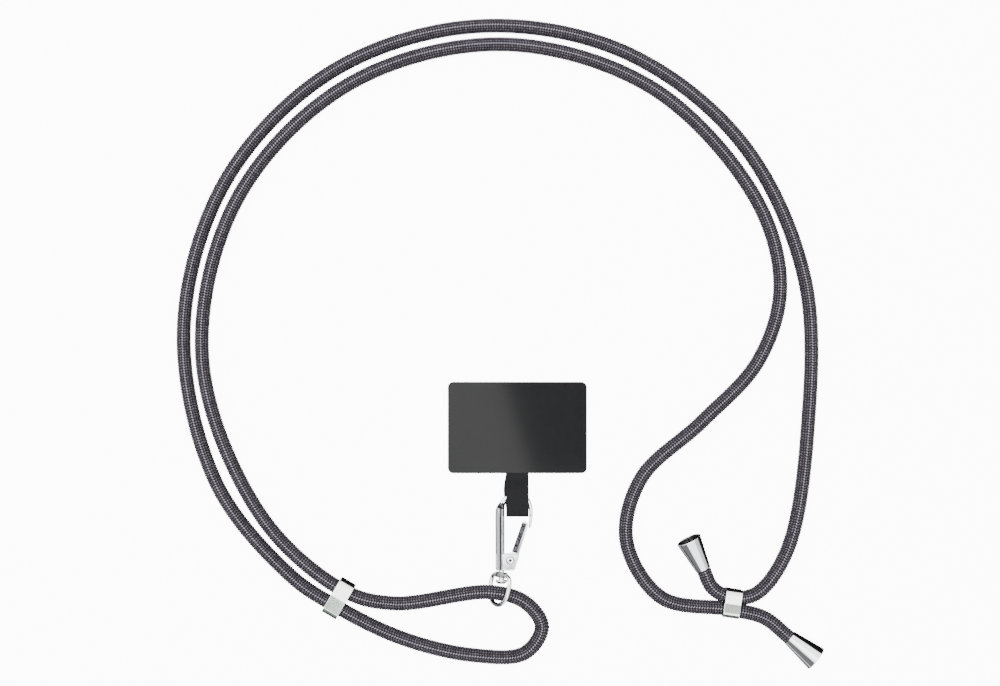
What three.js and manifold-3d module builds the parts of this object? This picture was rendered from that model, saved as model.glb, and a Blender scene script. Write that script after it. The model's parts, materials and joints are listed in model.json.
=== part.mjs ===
// Crossbody strap for a phone: a cord with two sliding rings and two end caps,
// a swivel clasp that hangs on the cord's lower loop, and a tether that lies between a phone and its case.
// Millimetres, +Z up. The strap lies flat on z = 0, with the middle of its outline at the origin.

import * as THREE from 'three';
import { mergeVertices } from 'three/addons/utils/BufferGeometryUtils.js';
import Module from 'manifold-3d';

const wasm = await Module();
wasm.setup();

// Gaps between pieces
const clearance = 0.3;
const fineClearance = 0.2;

// Cord
const cordDiameter = 6;
const cordSides = 10;
const cordStep = 30;
const cordTurn = 0.6;
const sliderStep = 3;

// Centreline of the cord, from the upper end cap to the lower one: x, y and the height of its middle.
const cordRoute = [
  [82.2, -90.4, 3.9],
  [85.7, -97.4, 4.1],
  [93.6, -101.2, 4.2],
  [103.5, -99.5, 3.8],
  [115.7, -82.4, 3.0],
  [123.8, -34.8, 3.0],
  [122.4, 27.2, 3.0],
  [96.6, 81.6, 3.0],
  [49.0, 117.5, 3.0],
  [-9.8, 127.0, 3.0],
  [-66.8, 108.8, 3.0],
  [-109.0, 65.2, 3.0],
  [-125.7, 6.0, 3.0],
  [-112.8, -55.4, 3.0],
  [-83.2, -92.4, 3.1],
  [-65.2, -104.4, 4.2],
  [-38.6, -117.6, 3.0],
  [-9.6, -124.5, 3.0],
  [10.7, -123.6, 3.0],
  [17.6, -113.0, 3.6],
  [11.0, -103.1, 4.9],
  [-3.2, -98.8, 5.95],
  [-41.6, -103.7, 3.3],
  [-61.7, -98.4, 4.2],
  [-94.7, -68.8, 3.0],
  [-118.2, -6.9, 3.0],
  [-104.8, 57.1, 3.0],
  [-60.4, 103.5, 3.0],
  [0.8, 119.9, 3.0],
  [61.4, 102.6, 3.0],
  [103.3, 57.8, 3.0],
  [112.9, 22.8, 3.0],
  [104.2, -6.6, 3.0],
  [81.4, -31.2, 3.0],
  [57.2, -53.8, 3.0],
  [51.4, -78.8, 3.0],
  [65.4, -101.4, 3.1],
  [93.0, -105.9, 4.2],
  [106.4, -109.3, 4.0],
  [116.0, -116.9, 3.9],
];

// Sliding rings on the cord
const sliderWall = 0.75;
const sliderLength = 6.6;
const sliderCorner = 2;
const sliderCrease = 0.3;
const loopSlider = { x: -63.5, y: -101.4, angle: -30.5, strandOffset: 3.6 };
const lengthSlider = { x: 93.3, y: -103.4, angle: -8.5, strandOffset: 2.45 };
const squeezedWidth = 4.4;
const squeezedReach = 7;

// End caps of the cord
const capLength = 13.4;
const capNarrowRadius = 3.1;
const capWideRadius = 5.1;
const capWall = 0.7;
const capFloor = 3.2;
const capEdge = 0.4;
const capNarrowHeight = 3.9;
const capSeatGap = 0.6;

// Clasp, in its own frame: x across, y along the swivel's axis towards the hook's top, z out of its face
const claspX = 1.4;
const claspY = -90.3;
const claspTilt = 5.5;

// Hook's bar, from the base round to the nose. The middle line's place across and along is in shares
// of the hook's span and reach, and the section's size in shares of the bar's width and thickness.
const hookSpan = 11.8;
const hookReach = 30.2;
const barWidth = 3.6;
const barThickness = 2.8;
const hookBar = [
  { across: -0.05, along: 0.02, width: 1, thickness: 1 },
  { across: -0.05, along: 0.4, width: 1, thickness: 1 },
  { across: -0.05, along: 0.775, width: 0.95, thickness: 0.93 },
  { across: 0.025, along: 0.875, width: 0.67, thickness: 0.79 },
  { across: 0.16, along: 0.95, width: 0.56, thickness: 0.71 },
  { across: 0.32, along: 0.985, width: 0.53, thickness: 0.71 },
  { across: 0.525, along: 1, width: 0.53, thickness: 0.71 },
  { across: 0.73, along: 0.98, width: 0.5, thickness: 0.71 },
  { across: 0.9, along: 0.92, width: 0.47, thickness: 0.71 },
  { across: 0.985, along: 0.83, width: 0.42, thickness: 0.71 },
  { across: 1, along: 0.735, width: 0.39, thickness: 0.71 },
  { across: 0.98, along: 0.64, width: 0.36, thickness: 0.71 },
  { across: 0.95, along: 0.555, width: 0.22, thickness: 0.57 },
];
const hookSides = 12;
const hookStepsPerRow = 2;

// Hook's base, which the gate's root and the swivel's post go into
const baseThickness = 3.9;
const baseLeft = -2.4;
const baseBottomRight = 5.2;
const baseTopRight = 7.3;
const baseHeight = 6.7;
const baseCorner = 1.0;
const baseChamfer = 0.5;
const baseBevel = 0.35;

// Gate and its rivet
const gateThickness = 2.0;
const gateLap = 0.9;
const gateRootRadius = 1.7;
const gateRootWidth = 3.1;
const gateShoulder = 3.4;
const gateTipWidth = 2.1;
const gateTipRound = 0.7;
const gateOffset = 0.94;
const gateBevel = 0.35;
const rivetX = 3.5;
const rivetY = 4.0;
const rivetRadius = 0.8;
const rivetHeadRadius = 1.65;
const rivetHeadHeight = 0.4;
const rivetCrownRadius = 1.15;
const rivetRimHeight = 0.15;

// Swivel
const postRadius = 1.1;
const postDepth = 2.4;
const postHeadRadius = 2.3;
const postHeadLength = 1.6;
const postCrownRadius = 1.4;
const postRimLength = 0.8;
const collarRadius = 2.4;
const collarLength = 2.2;
const collarPlay = 0.5;
const eyeBarY = -1.75;
const eyeWire = 1.7;
const eyeHalfWidth = 5.9;
const eyeLength = 11.95;
const eyeTurn = 52;
const eyeLean = 9;
const eyeSides = 8;

// One side of the eye, in shares of its half width and its length.
const eyeOutline = [
  { across: 0.56, down: 0 },
  { across: 0.89, down: 0.075 },
  { across: 1, down: 0.22 },
  { across: 1, down: 0.435 },
  { across: 0.88, down: 0.7 },
  { across: 0.53, down: 0.915 },
];

// Tether: a flat pad, and a loop of webbing that goes round the hook's bar and hangs loose below it
const padWidth = 55.8;
const padLength = 36.7;
const padThickness = 1.4;
const padCorner = 2.2;
const plyThickness = 0.75;
const loopWidth = 8.4;
const loopLength = 17.05;
const loopDrop = 9;
const loopJoinLength = 1.6;
const loopSlopeLength = 4.6;

const up = new THREE.Vector3(0, 0, 1);
const cordRadius = cordDiameter / 2;
const tetherX = claspX + 0.54 * hookSpan;
const loopFoldY = claspY + hookReach * Math.cos(radians(claspTilt)) - loopDrop;
const padNearY = loopFoldY + loopLength + clearance;

// Materials
const braid = { color: 0x5a5560, roughness: 0.85, metalness: 0 };
const polished = { color: 0xd9dadc, roughness: 0.12, metalness: 1 };
const satin = { color: 0xc9ccc8, roughness: 0.25, metalness: 1 };
const darkPatch = { color: 0x353535, roughness: 0.6, metalness: 0 };
const darkWebbing = { color: 0x2f2f2f, roughness: 0.8, metalness: 0 };

function radians(degrees) {
  return THREE.MathUtils.degToRad(degrees);
}

function piece(name, geometry, finish) {
  const mesh = new THREE.Mesh(geometry, new THREE.MeshStandardMaterial(finish));
  mesh.name = name;
  return mesh;
}

// Booleans
function solidFrom(geometry) {
  const bare = geometry.clone();
  bare.deleteAttribute('normal');
  bare.deleteAttribute('uv');
  const merged = mergeVertices(bare, 1e-4);
  return new wasm.Manifold(new wasm.Mesh({
    numProp: 3,
    vertProperties: Float32Array.from(merged.attributes.position.array),
    triVerts: Uint32Array.from(merged.index.array),
  }));
}

function geometryFrom(solid) {
  const mesh = solid.getMesh();
  const geometry = new THREE.BufferGeometry();
  geometry.setAttribute('position', new THREE.BufferAttribute(mesh.vertProperties, 3));
  geometry.setIndex(new THREE.BufferAttribute(mesh.triVerts, 1));
  geometry.computeVertexNormals();
  return geometry;
}

// Turns an extrusion so that its outline's x and y become y and z, and its length runs along x.
function layAlongX(geometry) {
  const basis = new THREE.Matrix4().makeBasis(
    new THREE.Vector3(0, 1, 0), new THREE.Vector3(0, 0, 1), new THREE.Vector3(1, 0, 0));
  return geometry.applyMatrix4(basis);
}

function extrude(shape, length, bevel = 0) {
  const geometry = new THREE.ExtrudeGeometry(shape, {
    depth: length - 2 * bevel,
    bevelEnabled: bevel > 0,
    bevelThickness: bevel,
    bevelSize: bevel,
    bevelOffset: -bevel,
    bevelSegments: 1,
    curveSegments: 6,
  });
  return geometry.translate(0, 0, bevel - length / 2);
}

function cylinder(radius, length, sides = 24) {
  return new THREE.CylinderGeometry(radius, radius, length, sides);
}

// Sweeps a round section of radius 1 along a path, then gives each section its own width and height.
function sweep(path, steps, sides, heightAxis, sizeAt) {
  const section = new THREE.Shape();
  for (let i = 0; i < sides; i += 1) {
    const angle = (2 * Math.PI * (i + 0.5)) / sides;
    const point = [Math.cos(angle), Math.sin(angle)];
    if (i === 0) {
      section.moveTo(...point);
    } else {
      section.lineTo(...point);
    }
  }
  section.closePath();
  const geometry = new THREE.ExtrudeGeometry(section, { steps, extrudePath: path, bevelEnabled: false });
  const centres = path.getSpacedPoints(steps);
  const position = geometry.attributes.position;
  const vertex = new THREE.Vector3();
  for (let i = 0; i < position.count; i += 1) {
    vertex.fromBufferAttribute(position, i);
    let nearest = 0;
    centres.forEach((centre, k) => {
      if (centre.distanceToSquared(vertex) < centres[nearest].distanceToSquared(vertex)) {
        nearest = k;
      }
    });
    const size = sizeAt(nearest / steps, centres[nearest]);
    vertex.sub(centres[nearest]);
    const rise = vertex.dot(heightAxis);
    vertex.addScaledVector(heightAxis, -rise).multiplyScalar(size.width / 2);
    vertex.addScaledVector(heightAxis, (rise * size.height) / 2).add(centres[nearest]);
    position.setXYZ(i, vertex.x, vertex.y, vertex.z);
  }
  geometry.computeVertexNormals();
  return geometry;
}

// Cord

// Distance of a place from a slider along the slider's own axis, or Infinity where it is off to the side.
function distanceAlong(slider, place) {
  const angle = radians(slider.angle);
  const x = place.x - slider.x;
  const y = place.y - slider.y;
  const across = -x * Math.sin(angle) + y * Math.cos(angle);
  if (Math.abs(across) > 2 * cordDiameter) {
    return Infinity;
  }
  return Math.abs(x * Math.cos(angle) + y * Math.sin(angle));
}

// The cord's line, whose sections come closer together in its bends and where a slider squeezes it.
class CordPath extends THREE.CatmullRomCurve3 {
  constructor(points) {
    super(points);
    const samples = 4000;
    this.effort = [0];
    let before = this.getPoint(0);
    let heading = this.getTangent(0);
    for (let i = 1; i <= samples; i += 1) {
      const here = this.getPoint(i / samples);
      const next = this.getTangent(i / samples);
      const length = here.distanceTo(before);
      const away = Math.min(distanceAlong(lengthSlider, here), distanceAlong(loopSlider, here));
      const detail = away < squeezedReach ? length / sliderStep : 0;
      const cost = length / cordStep + heading.angleTo(next) / cordTurn + detail;
      this.effort.push(this.effort[i - 1] + cost);
      before = here;
      heading = next;
    }
  }

  // A point of the line, which never dips so low that the cord would sink into the ground.
  getPoint(t, target) {
    const point = super.getPoint(t, target);
    point.z = Math.max(point.z, cordRadius);
    return point;
  }

  sections() {
    return Math.ceil(this.effort.at(-1));
  }

  getUtoTmapping(u) {
    const target = u * this.effort.at(-1);
    let high = this.effort.findIndex((value) => value >= target);
    high = Math.max(high, 1);
    const low = high - 1;
    const share = (target - this.effort[low]) / (this.effort[high] - this.effort[low]);
    return (low + share) / (this.effort.length - 1);
  }
}

function cordGeometry() {
  const path = new CordPath(cordRoute.map((point) => new THREE.Vector3(...point)));
  const sizeAt = (u, centre) => {
    const away = distanceAlong(lengthSlider, centre);
    const free = THREE.MathUtils.smoothstep(away, sliderLength / 2 + clearance, squeezedReach);
    return { width: THREE.MathUtils.lerp(squeezedWidth, cordDiameter, free), height: cordDiameter };
  };
  return sweep(path, path.sections(), cordSides, up, sizeAt);
}

// Sliders

function bandOutline(outline, halfWidth, halfHeight, corner) {
  const right = halfWidth - corner;
  const top = halfHeight - corner;
  outline.moveTo(0, -halfHeight + sliderCrease);
  outline.lineTo(right, -halfHeight);
  outline.absarc(right, -top, corner, -Math.PI / 2, 0);
  outline.lineTo(halfWidth, top);
  outline.absarc(right, top, corner, 0, Math.PI / 2);
  outline.lineTo(0, halfHeight - sliderCrease);
  outline.lineTo(-right, halfHeight);
  outline.absarc(-right, top, corner, Math.PI / 2, Math.PI);
  outline.lineTo(-halfWidth, -top);
  outline.absarc(-right, -top, corner, Math.PI, (3 * Math.PI) / 2);
  outline.lineTo(0, -halfHeight + sliderCrease);
  return outline;
}

function slider(name, place, strandWidth) {
  const channelWidth = place.strandOffset + strandWidth / 2 + clearance;
  const channelHeight = cordRadius + clearance + sliderCrease / 2;
  const halfHeight = channelHeight + sliderWall;
  const band = bandOutline(new THREE.Shape(), channelWidth + sliderWall, halfHeight, sliderCorner);
  band.holes.push(bandOutline(new THREE.Path(), channelWidth, channelHeight, sliderCorner - sliderWall));
  const mesh = piece(name, layAlongX(extrude(band, sliderLength)), satin);
  mesh.position.set(place.x, place.y, halfHeight);
  mesh.rotation.z = radians(place.angle);
  return mesh;
}

// End caps

function capGeometry() {
  const profile = [
    [0, 0],
    [capNarrowRadius - capEdge, 0],
    [capNarrowRadius, capEdge],
    [capWideRadius, capLength - capEdge],
    [capWideRadius - capEdge / 2, capLength],
    [capWideRadius - capWall, capLength],
    [capNarrowRadius - capWall, capFloor],
    [0, capFloor],
  ].map(([radius, y]) => new THREE.Vector2(radius, y));
  return new THREE.LatheGeometry(profile, 24);
}

// A cap on the end of the cord, whose wide rim rests on the ground.
function endCap(name, end, inner) {
  const rim = capLength - capEdge;
  const reach = Math.hypot(capWideRadius, rim);
  const elevation = Math.acos(capNarrowHeight / reach) - Math.atan2(rim, capWideRadius);
  const out = new THREE.Vector3(end[0] - inner[0], end[1] - inner[1], 0).normalize();
  const axis = out.clone().multiplyScalar(Math.cos(elevation)).addScaledVector(up, Math.sin(elevation));
  const mesh = piece(name, capGeometry(), polished);
  mesh.quaternion.setFromUnitVectors(new THREE.Vector3(0, 1, 0), axis);
  mesh.position.set(end[0], end[1], capNarrowHeight).addScaledVector(out, capSeatGap);
  return mesh;
}

// Clasp

// A row of the hook's table at its real size.
function barSection(row) {
  return {
    x: row.across * hookSpan,
    y: row.along * hookReach,
    width: row.width * barWidth,
    thickness: row.thickness * barThickness,
  };
}

function hookBarGeometry() {
  const sections = hookBar.map(barSection);
  const path = new THREE.CatmullRomCurve3(sections.map((row) => new THREE.Vector3(row.x, row.y, 0)));
  path.getUtoTmapping = (u) => u;
  const rows = hookBar.length - 1;
  const sizeAt = (u) => {
    const low = Math.min(Math.floor(u * rows), rows - 1);
    const share = u * rows - low;
    return {
      width: THREE.MathUtils.lerp(sections[low].width, sections[low + 1].width, share),
      height: THREE.MathUtils.lerp(sections[low].thickness, sections[low + 1].thickness, share),
    };
  };
  return sweep(path, rows * hookStepsPerRow, hookSides, up, sizeAt);
}

function baseShape() {
  const slope = (baseTopRight - baseBottomRight) / baseHeight;
  const shape = new THREE.Shape();
  shape.moveTo(baseLeft + baseCorner, 0);
  shape.lineTo(baseBottomRight - baseCorner, 0);
  shape.quadraticCurveTo(baseBottomRight, 0, baseBottomRight + slope * baseCorner, baseCorner);
  shape.lineTo(baseTopRight - slope * baseChamfer, baseHeight - baseChamfer);
  shape.lineTo(baseTopRight - baseChamfer, baseHeight);
  shape.lineTo(baseLeft, baseHeight);
  shape.lineTo(baseLeft, baseCorner);
  shape.quadraticCurveTo(baseLeft, 0, baseLeft + baseCorner, 0);
  return shape;
}

function gateSlot() {
  const left = rivetX - gateRootRadius - clearance;
  const bottom = rivetY - gateRootRadius - clearance;
  const right = 2 * baseTopRight;
  const top = 2 * baseHeight;
  const slot = new THREE.BoxGeometry(right - left, top - bottom, gateThickness + 2 * fineClearance);
  return slot.translate((left + right) / 2, (bottom + top) / 2, 0);
}

function rivetHole(length) {
  return cylinder(rivetRadius + fineClearance, length).rotateX(Math.PI / 2).translate(rivetX, rivetY, 0);
}

function hook() {
  const postBore = cylinder(postRadius + fineClearance, 2 * (postDepth + clearance));
  const solid = solidFrom(hookBarGeometry())
    .add(solidFrom(extrude(baseShape(), baseThickness, baseBevel)))
    .subtract(solidFrom(gateSlot()))
    .subtract(solidFrom(rivetHole(2 * baseThickness)))
    .subtract(solidFrom(postBore));
  return piece('hook', geometryFrom(solid), polished);
}

// The gate's length and its lean when its tip rests against the inner side of the hook's nose.
function closedGate() {
  const nose = barSection(hookBar.at(-1));
  const x = nose.x - nose.width / 2 - clearance - rivetX;
  const y = nose.y + gateLap - rivetY;
  const tipOuter = gateOffset + gateTipWidth / 2;
  const length = Math.sqrt(x * x + y * y - tipOuter * tipOuter);
  return { length, lean: Math.atan2(x, y) - Math.atan2(tipOuter, length) };
}

// The gate's outline about its rivet, with y along the gate.
function gateShape(length) {
  const shape = new THREE.Shape();
  const rootOuter = gateOffset + gateRootWidth / 2;
  const rootInner = gateOffset - gateRootWidth / 2;
  const tipOuter = gateOffset + gateTipWidth / 2;
  const tipInner = gateOffset - gateTipWidth / 2;
  shape.moveTo(rootOuter, gateRootRadius);
  shape.lineTo(tipOuter, length - gateTipRound);
  shape.quadraticCurveTo(tipOuter, length, tipOuter - gateTipRound, length);
  shape.lineTo(tipInner + gateTipRound, length);
  shape.quadraticCurveTo(tipInner, length, tipInner, length - gateTipRound);
  shape.lineTo(rootInner, gateShoulder);
  shape.absarc(0, 0, gateRootRadius, (5 * Math.PI) / 6, 2 * Math.PI);
  shape.lineTo(rootOuter, gateRootRadius);
  return shape;
}

function gate() {
  const closed = closedGate();
  const bar = extrude(gateShape(closed.length), gateThickness, gateBevel).rotateZ(-closed.lean);
  const solid = solidFrom(bar.translate(rivetX, rivetY, 0)).subtract(solidFrom(rivetHole(2 * gateThickness)));
  return piece('gate', geometryFrom(solid), polished);
}

function rivet() {
  const innerFace = baseThickness / 2 + fineClearance;
  const outerFace = innerFace + rivetHeadHeight;
  const profile = [
    [0, -outerFace],
    [rivetCrownRadius, -outerFace],
    [rivetHeadRadius, -innerFace - rivetRimHeight],
    [rivetHeadRadius, -innerFace],
    [rivetRadius, -innerFace],
    [rivetRadius, innerFace],
    [rivetHeadRadius, innerFace],
    [rivetHeadRadius, innerFace + rivetRimHeight],
    [rivetCrownRadius, outerFace],
    [0, outerFace],
  ].map(([radius, y]) => new THREE.Vector2(radius, y));
  const geometry = new THREE.LatheGeometry(profile, 20).rotateX(Math.PI / 2);
  return piece('gate_rivet', geometry.translate(rivetX, rivetY, 0), polished);
}

function swivelPost() {
  const headTop = eyeBarY - collarLength / 2 - collarPlay - clearance;
  const headBottom = headTop - postHeadLength;
  const profile = [
    [0, headBottom],
    [postCrownRadius, headBottom],
    [postHeadRadius, headTop - postRimLength],
    [postHeadRadius, headTop],
    [postRadius, headTop],
    [postRadius, postDepth],
    [0, postDepth],
  ].map(([radius, y]) => new THREE.Vector2(radius, y));
  return piece('swivel_post', new THREE.LatheGeometry(profile, 20), polished);
}

// The eye's wire starts and ends inside its collar, so that the two make one closed ring.
function eyeWireGeometry() {
  const inside = (collarRadius + postRadius + collarPlay) / 2;
  const outline = eyeOutline.map((row) => [row.across * eyeHalfWidth, -row.down * eyeLength]);
  const half = [[inside, 0], ...outline];
  const mirrored = half.map(([x, y]) => [-x, y]).reverse();
  const bottom = [[0, -eyeLength]];
  const points = [...half, ...bottom, ...mirrored].map(([x, y]) => new THREE.Vector3(x, y, 0));
  const path = new THREE.CatmullRomCurve3(points);
  return sweep(path, 3 * points.length, eyeSides, up, () => ({ width: eyeWire, height: eyeWire }));
}

function swivelEye() {
  const solid = solidFrom(eyeWireGeometry())
    .add(solidFrom(cylinder(collarRadius, collarLength)))
    .subtract(solidFrom(cylinder(postRadius + collarPlay, 2 * collarLength)));
  const mesh = piece('swivel_eye', geometryFrom(solid), polished);
  mesh.rotation.y = -radians(eyeTurn);
  const lean = new THREE.Group();
  lean.position.y = eyeBarY;
  lean.rotation.z = -radians(eyeLean);
  lean.add(mesh);
  return lean;
}

function clasp() {
  const group = new THREE.Group();
  const eye = swivelEye();
  group.add(hook(), gate(), rivet(), swivelPost(), eye);
  group.rotation.x = -radians(claspTilt);
  group.position.set(claspX, claspY, 0);
  group.updateMatrixWorld(true);
  group.position.z = -new THREE.Box3().setFromObject(eye, true).min.z;
  return group;
}

// Tether

function tetherPad() {
  const x = padWidth / 2 - padCorner;
  const y = padLength / 2 - padCorner;
  const shape = new THREE.Shape();
  shape.absarc(x, y, padCorner, 0, Math.PI / 2);
  shape.absarc(-x, y, padCorner, Math.PI / 2, Math.PI);
  shape.absarc(-x, -y, padCorner, Math.PI, (3 * Math.PI) / 2);
  shape.absarc(x, -y, padCorner, (3 * Math.PI) / 2, 2 * Math.PI);
  const mesh = piece('tether_pad', extrude(shape, padThickness), darkPatch);
  mesh.position.set(tetherX, padNearY + padLength / 2, padThickness / 2);
  return mesh;
}

// Height of the hook's bar above the ground, at its highest inside the tether's loop.
function barTop(claspHeight) {
  const reach = loopWidth / 2 + clearance;
  const inLoop = hookBar.map(barSection).filter((row) => {
    const side = Math.abs(row.x + claspX - tetherX) - row.width / 2;
    return side < reach && row.y + claspY > loopFoldY;
  });
  const tops = inLoop.map((row) => claspHeight - row.y * Math.sin(radians(claspTilt)) + row.thickness / 2);
  return Math.max(...tops);
}

// One band of webbing round the hook's bar, seen from the side: x runs along the strap and y is its height.
function tetherLoop(claspHeight) {
  const endY = padNearY - clearance;
  const joinY = endY - loopJoinLength;
  const liftY = joinY - loopSlopeLength;
  const height = barTop(claspHeight) + clearance + plyThickness;
  const outer = height / 2;
  const foldY = loopFoldY + outer;
  const band = new THREE.Shape();
  band.moveTo(endY, 0);
  band.lineTo(endY, 2 * plyThickness);
  band.lineTo(joinY, 2 * plyThickness);
  band.lineTo(liftY, height);
  band.lineTo(foldY, height);
  band.absarc(foldY, outer, outer, Math.PI / 2, (3 * Math.PI) / 2);
  band.lineTo(endY, 0);
  const hollow = new THREE.Path();
  hollow.moveTo(joinY - loopJoinLength, plyThickness);
  hollow.lineTo(liftY - plyThickness / 2, height - plyThickness);
  hollow.lineTo(foldY, height - plyThickness);
  hollow.absarc(foldY, outer, outer - plyThickness, Math.PI / 2, (3 * Math.PI) / 2);
  hollow.lineTo(joinY - loopJoinLength, plyThickness);
  band.holes.push(hollow);
  const mesh = piece('tether_loop', layAlongX(extrude(band, loopWidth)), darkWebbing);
  mesh.position.x = tetherX;
  return mesh;
}

// Assembly
const strap = new THREE.Group();
const claspGroup = clasp();
strap.add(piece('cord', cordGeometry(), braid));
strap.add(slider('loop_slider', loopSlider, cordDiameter));
strap.add(slider('length_slider', lengthSlider, squeezedWidth));
strap.add(endCap('upper_end_cap', cordRoute[0], cordRoute[1]));
strap.add(endCap('lower_end_cap', cordRoute.at(-1), cordRoute.at(-2)));
strap.add(claspGroup);
strap.add(tetherPad());
strap.add(tetherLoop(claspGroup.position.z));

export default strap;
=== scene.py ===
"""A phone crossbody strap as it lies on a table.

A long braided cord carries two sliding metal rings and two end caps. Its lower loop holds a swivel
clasp, whose hook carries the webbing of a flat tether pad. All places are in metres, +Z up, in the
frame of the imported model.
"""

from __future__ import annotations

import json
import logging
import math
from collections.abc import Sequence
from dataclasses import dataclass, field
from enum import Enum

import bmesh
import bpy
import numpy as np
from bpy.types import ID, Material, Mesh, Node, NodeOutputs, NodeSocket, NodeTree, Object
from mathutils import Matrix, Vector

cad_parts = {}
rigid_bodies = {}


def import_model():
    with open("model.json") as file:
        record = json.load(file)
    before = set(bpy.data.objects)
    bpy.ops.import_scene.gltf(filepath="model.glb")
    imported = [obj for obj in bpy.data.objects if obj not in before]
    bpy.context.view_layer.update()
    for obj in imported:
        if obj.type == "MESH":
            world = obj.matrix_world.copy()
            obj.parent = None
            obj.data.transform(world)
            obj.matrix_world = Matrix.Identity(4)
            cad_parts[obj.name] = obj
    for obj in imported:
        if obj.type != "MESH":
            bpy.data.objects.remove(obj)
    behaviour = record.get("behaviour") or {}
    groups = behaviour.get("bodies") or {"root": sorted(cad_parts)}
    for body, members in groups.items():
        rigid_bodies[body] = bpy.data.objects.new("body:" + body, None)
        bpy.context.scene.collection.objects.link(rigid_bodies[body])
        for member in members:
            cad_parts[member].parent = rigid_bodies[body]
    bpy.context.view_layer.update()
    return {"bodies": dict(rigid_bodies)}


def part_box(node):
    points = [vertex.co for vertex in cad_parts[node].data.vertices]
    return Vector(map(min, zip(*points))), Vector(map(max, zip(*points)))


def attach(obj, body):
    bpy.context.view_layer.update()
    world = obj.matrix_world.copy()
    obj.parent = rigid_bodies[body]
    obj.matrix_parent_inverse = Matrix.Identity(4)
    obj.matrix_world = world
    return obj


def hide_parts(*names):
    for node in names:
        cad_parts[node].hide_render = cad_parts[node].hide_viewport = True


LOG = logging.getLogger("strap")
MM = 0.001
IMAGE_WIDTH = 1000
MM_PER_PIXEL = 0.4
# Points nearer than this are one point.
DOUBLE_GAP = 0.001 * MM
# How long one band of a wave texture is at scale 1.
WAVE_PERIOD = math.tau / 20

# The cord's route, from the upper end cap to the lower one, repeated from the part's source in metres.
CORD_ROUTE = (
    (0.0822, -0.0904, 0.0039),
    (0.0857, -0.0974, 0.0041),
    (0.0936, -0.1012, 0.0042),
    (0.1035, -0.0995, 0.0038),
    (0.1157, -0.0824, 0.0030),
    (0.1238, -0.0348, 0.0030),
    (0.1224, 0.0272, 0.0030),
    (0.0966, 0.0816, 0.0030),
    (0.0490, 0.1175, 0.0030),
    (-0.0098, 0.1270, 0.0030),
    (-0.0668, 0.1088, 0.0030),
    (-0.1090, 0.0652, 0.0030),
    (-0.1257, 0.0060, 0.0030),
    (-0.1128, -0.0554, 0.0030),
    (-0.0832, -0.0924, 0.0031),
    (-0.0652, -0.1044, 0.0042),
    (-0.0386, -0.1176, 0.0030),
    (-0.0096, -0.1245, 0.0030),
    (0.0107, -0.1236, 0.0030),
    (0.0176, -0.1130, 0.0036),
    (0.0110, -0.1031, 0.0049),
    (-0.0032, -0.0988, 0.00595),
    (-0.0416, -0.1037, 0.0033),
    (-0.0617, -0.0984, 0.0042),
    (-0.0947, -0.0688, 0.0030),
    (-0.1182, -0.0069, 0.0030),
    (-0.1048, 0.0571, 0.0030),
    (-0.0604, 0.1035, 0.0030),
    (0.0008, 0.1199, 0.0030),
    (0.0614, 0.1026, 0.0030),
    (0.1033, 0.0578, 0.0030),
    (0.1129, 0.0228, 0.0030),
    (0.1042, -0.0066, 0.0030),
    (0.0814, -0.0312, 0.0030),
    (0.0572, -0.0538, 0.0030),
    (0.0514, -0.0788, 0.0030),
    (0.0654, -0.1014, 0.0031),
    (0.0930, -0.1059, 0.0042),
    (0.1064, -0.1093, 0.0040),
    (0.1160, -0.1169, 0.0039),
)


class Body(Enum):
    """The rigid bodies that the pieces ride on."""

    ROOT = "root"
    CLASP = "clasp"
    GATE = "gate"


class Slot(Enum):
    """The record's material slots."""

    BRAID = "braid"
    SATIN = "satin_metal"
    POLISHED = "polished_metal"
    PATCH = "patch"
    WEBBING = "webbing"


def linear(hex_colour: str) -> tuple[float, float, float, float]:
    """Turns an sRGB colour into the linear one that shaders use.

    Args:
        hex_colour: The colour as six hex digits after a hash.

    Returns:
        Linear red, green, blue and an alpha of 1.
    """
    channels = [int(hex_colour[i : i + 2], 16) / 255 for i in (1, 3, 5)]
    red, green, blue = (c / 12.92 if c <= 0.04045 else ((c + 0.055) / 1.055) ** 2.4 for c in channels)
    return red, green, blue, 1.0


def add_node(
    tree: NodeTree,
    kind: str,
    inputs: dict[str | int, object] | None = None,
    **settings: object,
) -> Node:
    """Adds one node with its settings and links.

    Args:
        tree: The tree to add to.
        kind: The node's Blender type.
        inputs: Sockets to link from, or values to set, by the input's name or number.
        **settings: The node's own properties.

    Returns:
        The new node.
    """
    node = tree.nodes.new(kind)
    for name, value in settings.items():
        setattr(node, name, value)
    for key, value in (inputs or {}).items():
        if isinstance(value, NodeSocket):
            tree.links.new(value, node.inputs[key])
        else:
            node.inputs[key].default_value = value
    return node


def new_material(
    name: str, values: dict[str, object]
) -> tuple[Material, NodeTree, Node]:
    """Makes a node material.

    Args:
        name: The material's name.
        values: Its shader's constants by socket.

    Returns:
        The material, its node tree and its Principled shader, joined to the output.
    """
    material = bpy.data.materials.new(name)
    material.use_nodes = True
    tree = material.node_tree
    tree.nodes.clear()
    shader = add_node(tree, "ShaderNodeBsdfPrincipled", values)
    add_node(tree, "ShaderNodeOutputMaterial", {"Surface": shader.outputs["BSDF"]})
    return material, tree, shader


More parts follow.
